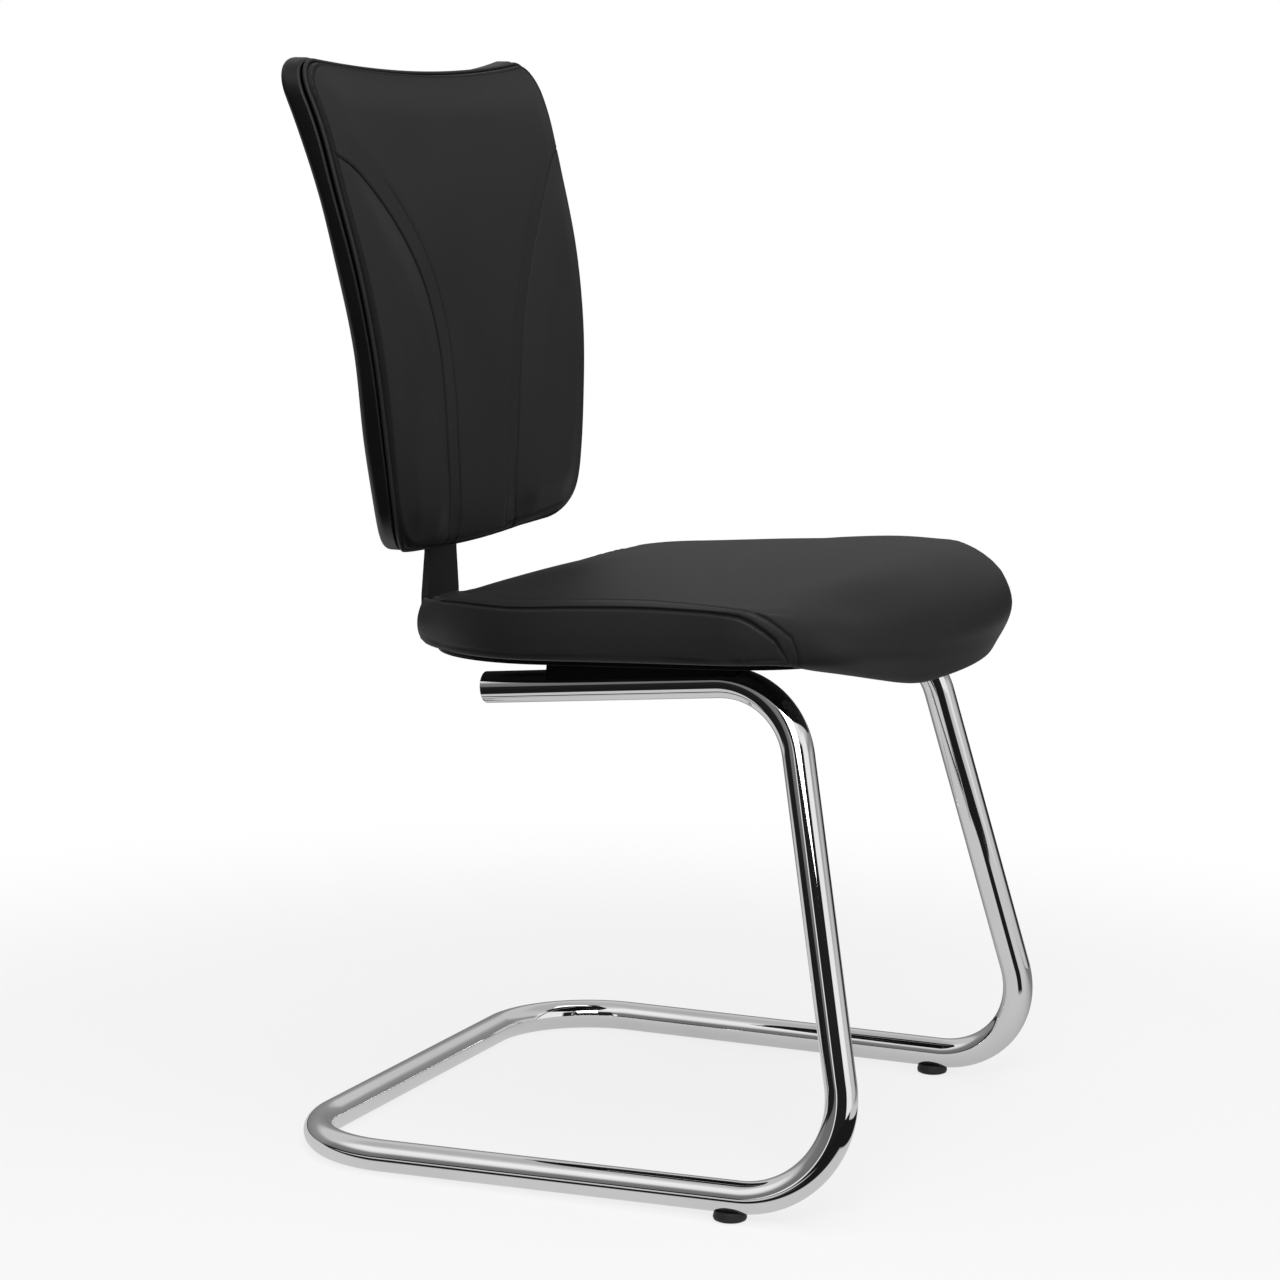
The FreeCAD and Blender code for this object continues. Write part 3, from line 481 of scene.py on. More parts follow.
def grained(pattern, first, second, rough, change, relief, strength):
    """Colour from first to second, roughness and relief, which all follow one pattern."""
    def lines(place):
        shade = pattern(place)
        return {"Base Color": shade.mix((*first, 1), (*second, 1)),
                "Roughness": rough + shade * change, "Normal": bump(shade, relief, strength)}
    return lines


def wood_rings(place):
    """Bands across y, bent by noise."""
    return place.make("TexWave", {"wave_type": "BANDS", "bands_direction": "Y"},
                      {"Vector": place, "Scale": 9.0, "Distortion": 6.0, "Detail": 3.0})


shell_plastic = finish("shell_plastic", moulded(0.0045, 0.0065, 1900.0, 0.30), IOR=1.46,
                       Specular_IOR_Level=0.34)
black_plastic = finish("black_plastic", moulded(0.003, 0.005, 1500.0, 0.42), IOR=1.46,
                       Specular_IOR_Level=0.15)
glide_plastic = finish("glide_plastic", moulded(0.009, 0.014, 1100.0, 0.50), IOR=1.46)
powder_coat = finish("black_powder_coat", moulded(0.013, 0.018, 800.0, 0.42), IOR=1.5)
plywood = finish("plywood", grained(wood_rings, (0.45, 0.29, 0.15), (0.60, 0.42, 0.24),
                                    0.55, 0.15, 0.0001, 0.4))
foam = finish("foam", grained(lambda place: cells(place, 900.0), (0.52, 0.47, 0.36),
                              (0.66, 0.62, 0.50), 0.85, 0.1, 0.0004, 0.7))
zinc = finish("zinc_steel", grained(lambda place: noise(place, 700.0), (0.42, 0.42, 0.44),
                                    (0.60, 0.60, 0.61), 0.30, 0.15, 0.00003, 0.4),
              Metallic=1.0)
print("finishes:", ", ".join(sorted(m.name for m in bpy.data.materials)))


def adopt(piece, look, slot, *nodes):
    """Give a finished piece its material, and let it stand for its nodes. The slot is not used."""
    piece.data.materials.append(look)
    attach(piece, BODY)
    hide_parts(*nodes)
    print("%-18s %6d faces" % (piece.name, len(piece.data.polygons)))


# %% [markdown]
# ## Curves with a measured length
# Tubes, piping and outlines all follow lines made of straight runs and arcs. A line is kept
# as its segments, and a function walks along it: it takes distances and gives points and
# directions, all at once as arrays.

# %% Lines of straight runs and arcs
def straight(a, b):
    """A run from a to b: point(q) = a + q (b - a) / length."""
    a, b = np.asarray(a, float), np.asarray(b, float)
    return {"start": a, "along": unit(b - a), "arm": None, "length": np.linalg.norm(b - a)}


def arc(centre, start, along, turn):
    """A bend: point(q) = centre + cos(q / R) arm + sin(q / R) R along, R = length of arm."""
    centre, start, along = (np.asarray(v, float) for v in (centre, start, along))
    arm = start - centre
    return {"start": centre, "along": along, "arm": arm, "length": np.linalg.norm(arm) * turn}


def walk(line, distance):
    """Points and unit directions at distances along a line, each run in its own formula."""
    ends = np.cumsum([run["length"] for run in line])
    here = np.clip(distance, 0, ends[-1] - 1e-9)
    which = np.searchsorted(ends, here, side="right")
    points = np.zeros(here.shape + (3,))
    ways = np.zeros_like(points)
    for number, run in enumerate(line):
        mine = which == number
        q = here[mine] - (ends[number] - run["length"])
        if run["arm"] is None:
            points[mine] = run["start"] + np.outer(q, run["along"])
            ways[mine] = run["along"]
        else:
            radius = np.linalg.norm(run["arm"])
            c, s = np.cos(q / radius)[:, None], np.sin(q / radius)[:, None]
            points[mine] = run["start"] + c * run["arm"] + s * radius * run["along"]
            ways[mine] = c * run["along"] - s * run["arm"] / radius
    return points, ways


def length_of(line):
    """The sum of the segments' lengths."""
    return sum(run["length"] for run in line)


def bent(corners, radii):
    """Straight runs between corners, each corner rounded by an arc of its own radius."""
    corners = [np.asarray(c, float) for c in corners]
    line, here = [], corners[0]
    for before, corner, after, radius in zip(corners, corners[1:], corners[2:], radii):
        back, ahead = unit(before - corner), unit(after - corner)
        half = math.acos(np.clip(back @ ahead, -1, 1)) / 2
        start = corner + back * radius / math.tan(half)
        hub = corner + unit(back + ahead) * radius / math.sin(half)
        line += [straight(here, start), arc(hub, start, -back, math.pi - 2 * half)]
        here = corner + ahead * radius / math.tan(half)
    return line + [straight(here, corners[-1])]


def spread(*stops):
    """Places from the first stop to the last, spaced by a step that varies between stops."""
    at, step = (np.array(v, float) for v in zip(*stops))
    fine = np.linspace(at[0], at[-1], 4000)
    count = np.concatenate([[0], np.cumsum(np.diff(fine) / np.interp(fine[1:], at, step))])
    return np.interp(np.linspace(0, count[-1], int(round(count[-1])) + 1), count, fine)


def ring_round(points, ways, lean, radius, around=64):
    """Circles square to a path: p + r (cos a  n + sin a  b), n square to the fixed lean."""
    across = unit(np.cross(ways, lean))
    over = np.cross(across, ways)
    a = np.linspace(0, 2 * math.pi, around + 1)
    radius = np.broadcast_to(radius, points.shape[:1])[:, None, None]
    return points[:, None] + radius * (np.cos(a)[None, :, None] * across[:, None]
                                       + np.sin(a)[None, :, None] * over[:, None])


# %% [markdown]
# ## The bent tube
# One tube, six bends: the open end of a seat rail, forward under the seat, down the leg, back
# along the floor, and across behind, then the same again on the other side. The surface is a
# circle carried along that line. Its radius is a profile: it starts inside the bore, comes
# out over the cut end with a small chamfer, and stays constant to the far end.

# %% Tube
TUBE, TUBE_WALL, CUT_CHAMFER = 25.0, 2.0, 0.4
RAIL_HALF, RAIL_REAR, RAIL_FRONT = 152.5, (96.0, 375.4), (-157.7, 400.8)
FOOT_HALF, FOOT = 229.9, (-250.0, 19.5)
BASE_HALF, BASE_REAR = 245.1, 231.1
BENDS = (66.0, 75.0, 88.0)
BORE_SHOWN, BORE_END = 195.0, 0.01
BEND_STEP, RING_LEAN = 2.2, (0.7, 0.1, 0.7)


def tube_side(sign):
    """The corners of one side's middle line, from the rail's open end to the rear."""
    return [(sign * RAIL_HALF, *RAIL_REAR), (sign * RAIL_HALF, *RAIL_FRONT),
            (sign * FOOT_HALF, *FOOT), (sign * BASE_HALF, BASE_REAR, TUBE / 2)]


def bent_tube():
    """The tube's wall as one closed surface of revolution about its bent middle line."""
    line = bent(tube_side(-1) + tube_side(1)[::-1], BENDS + BENDS[::-1])
    full = length_of(line)
    outer, bore = TUBE / 2, TUBE / 2 - TUBE_WALL
    ends = np.cumsum([0] + [run["length"] for run in line])
    steps = [np.linspace(a, b, 3 if run["arm"] is None else int(run["length"] / BEND_STEP) + 2)[1:]
             for a, b, run in zip(ends, ends[1:], line)]
    along = np.concatenate(steps)[:-1]
    mouth_at = [BORE_SHOWN, BORE_SHOWN, 0.0, 0.0, CUT_CHAMFER]
    mouth_radius = [BORE_END, bore, bore, outer - CUT_CHAMFER, outer]
    at = np.concatenate([mouth_at, along, full - np.array(mouth_at[::-1])])
    radius = np.concatenate([mouth_radius, np.full(len(along), outer), mouth_radius[::-1]])
    points, ways = walk(line, at)
    print("tube line: %.0f mm with %d bends" % (full, len(BENDS) * 2))
    return grid_mesh("bent_tube", ring_round(points, ways, RING_LEAN, radius))


tube = bent_tube()
tube.data.set_sharp_from_angle(angle=math.radians(35))
adopt(tube, chrome, "chrome_tube", "cantilever_frame")

# %% [markdown]
# ## The seat's frame of reference
# The seat is drawn lying flat: x across, y to the rear and h up from the seat board. Its
# outline is four kinds of arc and two straight sides. The real seat rises to the front, so
# the finished points are turned about the x axis and lifted.

# %% Seat outline
SEAT_TILT = math.radians(2.91)
SEAT_BASE = 409.0
SEAT_HALF, SEAT_FRONT, SEAT_REAR = 232.0, -259.0, 201.0
FRONT_ARC, FRONT_CORNER = 443.0, 97.0
REAR_ARC, REAR_CORNER = 258.0, 148.0


def tilted(x, y, h):
    """From the seat's own x, y, h to the chair's frame."""
    c, s = math.cos(SEAT_TILT), math.sin(SEAT_TILT)
    return joined(x, y * c + h * s, SEAT_BASE - y * s + h * c)


def seat_outline():
    """The closed outline seen from above, from the middle of the front edge, to +x first."""
    def end(edge, broad, corner, way):
        """Half the broad arc's angle, and the centre of the corner arc that it meets."""
        lean = math.asin((SEAT_HALF - corner) / (broad - corner))
        hub = (SEAT_HALF - corner, edge - way * broad + way * (broad - corner) * math.cos(lean))
        return lean, hub
    lean_f, hub_f = end(SEAT_FRONT, FRONT_ARC, FRONT_CORNER, -1)
    lean_r, hub_r = end(SEAT_REAR, REAR_ARC, REAR_CORNER, 1)

    def piece(centre, radius, first, turn):
        """An arc about a centre, from the angle first on."""
        centre = np.array([*centre, 0.0])
        out = np.array([math.cos(first), math.sin(first), 0.0])
        return arc(centre, centre + radius * out, (-out[1], out[0], 0.0), turn)

    quarter = math.pi / 2
    middle_f, middle_r = (0.0, SEAT_FRONT + FRONT_ARC), (0.0, SEAT_REAR - REAR_ARC)
    flip_f, flip_r = (-hub_f[0], hub_f[1]), (-hub_r[0], hub_r[1])
    return [
        piece(middle_f, FRONT_ARC, -quarter, lean_f),
        piece(hub_f, FRONT_CORNER, lean_f - quarter, quarter - lean_f),
        straight((SEAT_HALF, hub_f[1], 0), (SEAT_HALF, hub_r[1], 0)),
        piece(hub_r, REAR_CORNER, 0.0, quarter - lean_r),
        piece(middle_r, REAR_ARC, quarter - lean_r, 2 * lean_r),
        piece(flip_r, REAR_CORNER, quarter + lean_r, quarter - lean_r),
        straight((-SEAT_HALF, hub_r[1], 0), (-SEAT_HALF, hub_f[1], 0)),
        piece(flip_f, FRONT_CORNER, 2 * quarter, quarter - lean_f),
        piece(middle_f, FRONT_ARC, -quarter - lean_f, lean_f)]


SEAT_LINE = seat_outline()
print("seat outline: %.0f mm round" % length_of(SEAT_LINE))


# %% [markdown]
# ## The seat cushion
# The top of the cushion is a crest that rises near the front and falls to the rear, and that
# drops towards both sides with the square of x. Round the edge, a profile starts under the
# cushion, turns up the wall and over the edge. There are three profiles, for the front, the
# sides and the rear. Point by point they mean the same places, so they can be blended.

# %% Seat surface
CREST = ((0.13, 68.2), (0.22, 71.4), (0.31, 69.6), (0.40, 65.6), (0.52, 61.5), (0.65, 57.2),
         (0.82, 44.2), (0.91, 36.4))
DROP = ((-0.1, 28), (0.13, 28.3), (0.22, 27.5), (0.31, 23.4), (0.40, 17.8), (0.52, 14.0),
        (0.65, 11.4), (0.82, -1.5), (0.91, -6.4), (1.1, -2.5))


def through(table, at):
    """A smooth curve through a table's points: cubic pieces with averaged slopes."""
    px, py = (np.array(v, float) for v in zip(*table))
    slopes = np.gradient(py, px)
    at = np.clip(at, px[0], px[-1])
    i = np.clip(np.searchsorted(px, at) - 1, 0, len(px) - 2)
    w = px[i + 1] - px[i]
    t = (at - px[i]) / w
    return ((2 * t**3 - 3 * t**2 + 1) * py[i] + (t**3 - 2 * t**2 + t) * w * slopes[i]
            + (3 * t**2 - 2 * t**3) * py[i + 1] + (t**3 - t**2) * w * slopes[i + 1])


def seat_top(place):
    """Height of the top at (x, y): crest(share of depth) - drop(share) (x / half)^2."""
    share = (place[..., 1] - SEAT_FRONT) / (SEAT_REAR - SEAT_FRONT)
    return through(CREST, share) - through(DROP, share) * (place[..., 0] / SEAT_HALF) ** 2


def step(x, low, high):
    """0 below low, 1 above high, and 3t^2 - 2t^3 between."""
    t = np.clip((x - low) / (high - low), 0, 1)
    return t * t * (3 - 2 * t)


def window(x, rise, fall):
    """1 between two soft steps: up over the first pair of values, down over the second."""
    return step(x, *rise) * (1 - step(x, *fall))


# Distance in from the outline, and height above the board. Point 9 is the sewn edge. On the
# sides, heights from point 9 on are counted from the top surface.
FRONT_ROLL = np.array([
    (70, 4.2), (60, 3.5), (48.8, -9.5), (36.7, -21.3), (24.9, -25.9), (13.6, -26.5),
    (5.8, -15.7), (-1.8, -0.7), (-2.6, 14.8), (1.3, 32.3), (7.7, 44.2), (15.2, 53.2),
    (25.7, 61.9), (40.0, 68.5)])
# What the roll's points move by towards its ends, where it hangs less.
ROLL_ENDS = np.array([
    (0, 0), (0, 0), (0.1, 6.7), (0.1, 13.2), (-0.1, 18.5), (-0.7, 18.3), (-1.5, 12.9),
    (-2.0, 6.9), (-0.6, 1.8), (0.7, -1.6), (1.6, -3.2), (1.6, -3.1), (0.9, -1.6), (0, 0)])
SIDE_WALL = np.array([
    (70, 4.2), (58, 4.2), (46, 4.2), (34, 4.2), (22, 4.2), (10, 4.3), (2.6, 5.2),
    (0.5, 9.5), (-0.7, 26), (1.0, -1.6), (3.5, -0.3), (9, 0.2), (20, 0), (38, 0)])
REAR_WALL = np.array([
    (70, 4.2), (58, 4.2), (46, 4.2), (34, 4.2), (22, 4.2), (11.9, 3.7), (4.0, 4.2),
    (0.4, 9.2), (0.5, 18.4), (5.8, 23.4), (10.8, 23.6), (17.3, 26.2), (28.1, 30.3),
    (38.5, 32.1)])
# What the rear wall's points move by towards its ends, where it is as high as the sides.
REAR_ENDS = np.array([
    (0, 0), (0, 0), (0, 0), (0, 0), (0, 0), (0, 0), (-1.0, -0.8), (-2.0, -0.5), (-2.3, 5.2),
    (-2.0, 16.0), (-3.1, 15.0), (-3.6, 14.0), (0, 12.6), (0, 8.4)])
EDGE = 9
FRONT_ENDS = -236.0, -168.0
ROLL_FOOT, ROLL_FULL, ROLL_RISES = 8.0, 71.5, (70.0, 200.0)
REAR_STARTS, REAR_RISES, REAR_TWIST, TWIST_HALF = (110.0, 165.0), (40.0, 180.0), 3.0, 180.0
INNER_RINGS = (58.0, 74.0, 88.0)


def edge_knots(points, inward):
    """Knots (distance in, height): front, side and rear profile, each times its share."""
    front = (1 - step(points[:, 1], *FRONT_ENDS))[:, None]
    rear = step(points[:, 1], *REAR_STARTS)[:, None]
    side = 1 - front - rear
    x = points[:, :1]
    over_edge = np.arange(len(SIDE_WALL)) >= EDGE
    front_roll = FRONT_ROLL + step(np.abs(x), *ROLL_RISES)[..., None] * ROLL_ENDS
    rear_wall = REAR_WALL + step(np.abs(x), *REAR_RISES)[..., None] * REAR_ENDS
    twist = REAR_TWIST * np.sin(np.clip(x / TWIST_HALF, -1, 1) * math.pi)
    rear_wall[..., 1] -= twist * over_edge

    def at(distance):
        """Points at distances in from the outline."""
        return points[:, None] + inward[:, None] * distance[..., None]

    away = front * front_roll[..., 0] + side * SIDE_WALL[:, 0] + rear * rear_wall[..., 0]
    top = seat_top(at(np.full((len(points), 1), INNER_RINGS[0])))
    lift = (FRONT_ROLL[:, 1] - ROLL_FOOT) * (top - ROLL_FOOT) / (ROLL_FULL - ROLL_FOOT)
    roll = np.where(FRONT_ROLL[:, 1] > ROLL_FOOT, ROLL_FOOT + lift, FRONT_ROLL[:, 1])
    roll = roll + front_roll[..., 1] - FRONT_ROLL[:, 1]
    wall = SIDE_WALL[:, 1] + np.where(over_edge, seat_top(at(away)), 0)
    height = front * roll + side * wall + rear * rear_wall[..., 1]
    rings = np.tile(INNER_RINGS, (len(points), 1))
    return joined(np.concatenate([away, rings], 1),
                  np.concatenate([height, seat_top(at(rings))], 1))


def cubic_through(knots, count):
    """Rows of curves through rows of knots (Catmull-Rom), with count points per gap."""
    k = np.concatenate([2 * knots[:, :1] - knots[:, 1:2], knots,
                        2 * knots[:, -1:] - knots[:, -2:-1]], 1)
    t = np.linspace(0, 1, count, endpoint=False)[:, None]
    a, b, c, e = (k[:, i:i + knots.shape[1] - 1, None] for i in range(4))
    made = 0.5 * (2 * b + (c - a) * t + (2 * a - 5 * b + 4 * c - e) * t**2
                  + (3 * b - a - 3 * c + e) * t**3)
    return np.concatenate([made.reshape(len(knots), -1, knots.shape[-1]), knots[:, -1:]], 1)


def resample(curves, lengths, at):
    """Points of each row's curve at that row's own lengths, by one flattened interpolation."""
    rows = np.arange(len(curves))[:, None] * (lengths.max() + 1.0)
    flat = (lengths + rows).ravel()
    return np.stack([np.interp((at + rows).ravel(), flat, curves[..., axis].ravel())
                     .reshape(at.shape) for axis in range(curves.shape[-1])], -1)


def stretched(template, low, high):
    """Every row of a template of lengths 0 to its last, stretched from low to high."""
    share = template / template[-1]
    return low[:, None] + share * (high - low)[:, None]


# %% [markdown]
# Two lines are sewn into the seat. The deeper one joins the side wall to the top and dives down
# the wall near the front, and gets the darkest painted shade. The fainter one runs parallel to
# it, a little way in. Rows of the grid follow both lines, and a groove with the shape of a bell
# curve is pressed along them: depth exp(-(distance / width)^2). The grooves, and a hem line low
# on the wall, are painted dark with the same bells, as shade.

# %% Seat seams
SEAM_LOW = ((-260, -64), (-200, -62), (-190, -58), (-183, -34), (-175, -19), (-167, -12),
            (-158, -5.8), (-149, -2), (-140, -0.7), (-120, 0.2), (115, 0.3), (131, 5),
            (145, 8), (162, 8), (178, 5), (190, 1), (200, 0))
SEAM_HIGH = ((-260, -50), (-200, -49), (-192, -45), (-189.5, -30), (-185.7, -15.8),
             (-178, -9.5), (-170, -3.8), (-161, 1.2), (-152, 5.9), (-134, 9.7), (-107, 13.6),
             (-89, 15.9), (-71, 19.2), (-35, 22.1), (0, 24.3), (45, 26.8), (87, 23), (200, 22))
HEM_HEIGHT, WALL_TOP, SEAT_MIDDLE = 5.0, 24.0, -20.0
CORE_GAP, BOARD_EDGE, BOARD_TOP = 3.2, (11.0, 58.0), 16.4
LOW_DEPTH, HIGH_DEPTH, HEM_DEPTH = 1.9, 0.9, 0.9
SEAM_WIDTH, HEM_WIDTH, PUFF_WIDTH, SEAT_PUFF = 1.3, 0.9, 8, 0.5
LOW_STARTS, HIGH_STARTS, HIGH_FADES = (-192, -172), (-198, -186), (30, 90)
HEM_STARTS, PUFF_STARTS, HEM_MIDDLE, HEM_REACH = (-186, -170), (-190, -150), -0.1, 4
# How dark the fainter seam and the hem line are painted as shade; the deeper seam gets 1.
HIGH_TONE, HEM_TONE = 0.45, 0.8
SEAT_INSIDE = 0, 0, 30
# Steps of the grid: (place, step there) round the outline, and up the profile in three parts.
ROUND_STEPS = (0, 6), (150, 6), (222, 2.0), (250, 0.8), (300, 0.8), (330, 2.0), (400, 5)
UNDER_STEPS = (0, 6), (60, 5), (80, 2), (110, 1.6), (115, 0.4)
BETWEEN_STEPS = (0, 0.4), (4, 1.0), (8, 1.4), (13, 1.0), (17, 0.4)
OVER_STEPS = (0, 0.4), (5, 1.2), (20, 3), (80, 5)


def bell(distance, width):
    """exp(-(distance / width)^2)."""
    return np.exp(-(distance / width) ** 2)


def normals_of(grid, inside):
    """Unit normals of a grid, turned away from a point inside."""
    rows, columns = np.gradient(grid, axis=0), np.gradient(grid, axis=1)
    across = unit(np.cross(rows, columns))
    facing = np.sign(np.sum(across * (grid - inside), -1, keepdims=True).mean())
    return across * facing


def seat_curves(columns, gap):
    """The profile's curve at places along the outline: points, way in, and (in, height)."""
    points, ways = walk(SEAT_LINE, columns)
    inward = joined(-ways[:, 1], ways[:, 0], 0 * ways[:, 0])
    return points, inward, cubic_through(edge_knots(points, inward), gap)


def placed(points, inward, rows):
    """The point outline + in * way in, at the row's height."""
    place = points[:, None] + inward[:, None] * rows[..., :1]
    place[..., 2] = rows[..., 1]
    return place


def closed_to_poles(place, floor_height, rings=20):
    """Rows carried on to a pole under the cushion and, over the top, to one above it."""
    middle = np.array([0, SEAT_MIDDLE, 0.0])
    share = np.linspace(1, 0, rings)[1:, None, None]
    ring = place[:, -1][None] * share + middle * (1 - share)
    ring[..., 2] = seat_top(ring)
    first = np.broadcast_to(middle + (0, 0, floor_height), place[:, :1].shape)
    grid = np.concatenate([first, place, ring.transpose(1, 0, 2)], 1)
    grid[-1] = grid[0]
    return grid


def seat_cushion():
    """The cushion's outside, from under the board round the edge to a pole on top."""
    around = length_of(SEAT_LINE)
    half = spread(*ROUND_STEPS, (around / 2, 6))
    columns = np.concatenate([half, around - half[-2::-1]])
    gap = 24
    points, inward, curves = seat_curves(columns, gap)
    bits = np.linalg.norm(np.diff(curves, axis=1), axis=-1)
    lengths = np.concatenate([np.zeros((len(curves), 1)), np.cumsum(bits, 1)], 1)
    edge = lengths[:, EDGE * gap]
    low, high = (edge + np.interp(points[:, 1], *zip(*table)) for table in (SEAM_LOW, SEAM_HIGH))
    parts = [stretched(spread(*steps), first, last) for steps, first, last in (
        (UNDER_STEPS, lengths[:, gap], low), (BETWEEN_STEPS, low, high),
        (OVER_STEPS, high, lengths[:, -1]))]
    at = np.concatenate([parts[0], parts[1][:, 1:], parts[2][:, 1:]], 1)
    rows = resample(curves, lengths, at)
    place = placed(points, inward, rows)

    y = points[:, 1:2]
    sewn_low, sewn_high = (
        bell((at - line[:, None]) / np.hypot(1, np.gradient(line - edge, columns))[:, None],
             SEAM_WIDTH) for line in (low, high))
    sewn_low *= step(y, *LOW_STARTS)
    sewn_high *= window(y, HIGH_STARTS, HIGH_FADES)
    wall = (step(y, *HEM_STARTS) * (np.abs(rows[..., 0] - HEM_MIDDLE) < HEM_REACH)
            * (rows[..., 1] < WALL_TOP))
    hem = wall * bell(rows[..., 1] - SIDE_WALL[0, 1] - HEM_HEIGHT, HEM_WIDTH)
    puff = (SEAT_PUFF * bell(at - ((low + high) / 2)[:, None], PUFF_WIDTH)
            * window(y, PUFF_STARTS, HIGH_FADES))
    # Painted shade: dark in the grooves of both seams and of the hem line.
    crease = np.clip(sewn_low + HIGH_TONE * sewn_high + HEM_TONE * hem, 0, 1)
    place += normals_of(place, SEAT_INSIDE) * (
        puff - LOW_DEPTH * sewn_low - HIGH_DEPTH * sewn_high - HEM_DEPTH * hem)[..., None]
    grid = closed_to_poles(place, SIDE_WALL[0, 1])
    crease = np.pad(crease, ((0, 0), (1, grid.shape[1] - place.shape[1] - 1)))
    return grid_mesh("seat_cushion", tilted(*np.moveaxis(grid, -1, 0)), crease=crease)


def seat_core():
    """The foam: the same form a leather's thickness further in, with room for the board."""
    points, inward, curves = seat_curves(np.linspace(0, length_of(SEAT_LINE), 181), 3)
    place = placed(points, inward, curves)
    place -= normals_of(place, SEAT_INSIDE) * CORE_GAP
    side, front = BOARD_EDGE
    over_board = curves[..., 0] > front + (side - front) * step(points[:, 1:2], *FRONT_ENDS)
    place[..., 2] = np.maximum(place[..., 2], np.where(over_board, BOARD_TOP, -np.inf))
    rings = 14
    grid = closed_to_poles(place, BOARD_TOP, rings)
    grid[:, 1 - rings:, 2] -= CORE_GAP
    return grid_mesh("seat_foam_core", tilted(*np.moveaxis(grid, -1, 0)))


seat = seat_cushion()
adopt(seat, leather, "seat_leather", "seat_cover")
adopt(seat_core(), foam, "foam", "seat_foam")

# %% [markdown]
# ## The back's surfaces
# Each surface of the back is y = middle(z) + wrap(z) (x / 200)^2, so it is a curved sheet that
# wraps forward at its sides. The front of the cushion, its rear and the shell are three such
# sheets within one outline. The outline's four sides meet in corners that are rounded by a
# cubic whose handles are as long as they would be for a circle.

# %% Back surfaces and outline
HEIGHTS = (465, 512, 560, 640, 700, 760, 810, 870)
FRONT = ((176.2, 176, 176, 178.5, 183, 192, 205.1, 229.1),
         (-20, -17.7, -15.4, -10.8, -4.1, 3, 4, 6))
INNER = ((203.6, 203.4, 203, 202.9, 204.9, 210, 219.6, 240.1),
         (-52.9, -45.8, -38.7, -27.4, -17.5, -7, -2.5, 3))
SHELL = ((225.2, 227.7, 229.5, 229.9, 229.9, 232, 238.0, 253.1),
         (-64.7, -56.8, -48.9, -38.6, -24.9, -12, -0.9, 8.7))
TOP_MID, HORN, BOTTOM_MID, BOTTOM_SIDE = 849.0, (206.0, 860.5), 468.5, (158.0, 481.0)
SIDE_POINTS = (177.0, 538.0), (199.5, 726.0)
BACK_MIDDLE = np.array([0, 655.0])
TOP_CORNER, LOW_CORNER = 24.0, 46.0
# The outline's points, and where on the +x side its bottom and its side end among them.
OUTLINE_POINTS, BOTTOM_END, SIDE_END = 3001, 300, 1100
WRAP_HALF, CHORD = 200.0, 40


def sheet_y(form, x, z):
    """y = middle(z) + wrap(z) (x / 200)^2."""
    middle, wrap = (through(tuple(zip(HEIGHTS, values)), z) for values in form)
    return middle + wrap * (x / WRAP_HALF) ** 2


def running(points):
    """Length along a line of points, up to each of them."""
    return np.concatenate([[0], np.cumsum(np.linalg.norm(np.diff(points, axis=0), axis=-1))])


def at_length(points, lengths):
    """Points at the given lengths along a line of points."""
    run = running(points)
    return np.stack([np.interp(lengths, run, points[:, axis]) for axis in range(2)], -1)


def bow(mid, end):
    """The parabola z = mid + (end z - mid) (x / end x)^2, from side to side."""
    x = np.linspace(-end[0], end[0], 401)
    return joined(x, mid + (end[1] - mid) * (x / end[0]) ** 2)


def back_outline(out=0.0, mid_drop=0.0, horn_drop=0.0, low_rise=0.0, low_corner=LOW_CORNER):
    """The closed outline (x, z) from the middle of the bottom, to +x first, moved outwards."""
    horn = (HORN[0], HORN[1] - horn_drop)
    low_side = (BOTTOM_SIDE[0], BOTTOM_SIDE[1] + low_rise)
    right = cubic_through(np.array((low_side, *SIDE_POINTS, horn))[None], 100)[0]
    sides = [bow(BOTTOM_MID + low_rise, low_side), right,
             bow(TOP_MID - mid_drop, horn)[::-1], right[::-1] * (-1, 1)]
    radii = [low_corner, TOP_CORNER, TOP_CORNER, low_corner]
    cut = []
    for one, two, radius in zip(sides, sides[1:] + sides[:1], radii):
        back, ahead = one[-CHORD] - one[-1], two[CHORD] - two[0]
        half = np.arccos(back @ ahead / np.linalg.norm(back) / np.linalg.norm(ahead)) / 2
        cut.append((radius / math.tan(half), radius * 4 / 3 * math.tan((math.pi - 2 * half) / 4)))
    runs = []
    for number, side in enumerate(sides):
        (before, _), (after, handle) = cut[number - 1], cut[number]
        trimmed = at_length(side, np.linspace(before, running(side)[-1] - after, 400))
        follows = sides[(number + 1) % 4]
        start, stop = trimmed[-1], at_length(follows, np.array([after]))[0]
        way_in = trimmed[-1] - trimmed[-2]
        way_out = at_length(follows, np.array([after + 1.0]))[0] - stop
        one, two = start + unit(way_in) * handle, stop - unit(way_out) * handle
        t = np.linspace(0, 1, 60)[1:-1, None]
        corner = ((1 - t)**3 * start + 3 * t * (1 - t)**2 * one + 3 * t * t * (1 - t) * two
                  + t**3 * stop)
        runs += [trimmed, corner]
    line = np.concatenate(runs + [runs[0][:1]])
    even = at_length(line, np.linspace(0, running(line)[-1], OUTLINE_POINTS))
    aside = np.where(even[:-1, 1] < BACK_MIDDLE[1], np.abs(even[:-1, 0]), np.inf)
    even = np.roll(even[:-1], -np.argmin(aside), 0)
    even = np.concatenate([even, even[:1]])
    return even + outward_of(even) * out


def outward_of(line):
    """Unit normals of a closed anticlockwise line in x and z."""
    way = unit(np.gradient(np.concatenate([line[-3:-1], line, line[1:3]]), axis=0)[2:-2])
    return joined(way[:, 1], -way[:, 0])


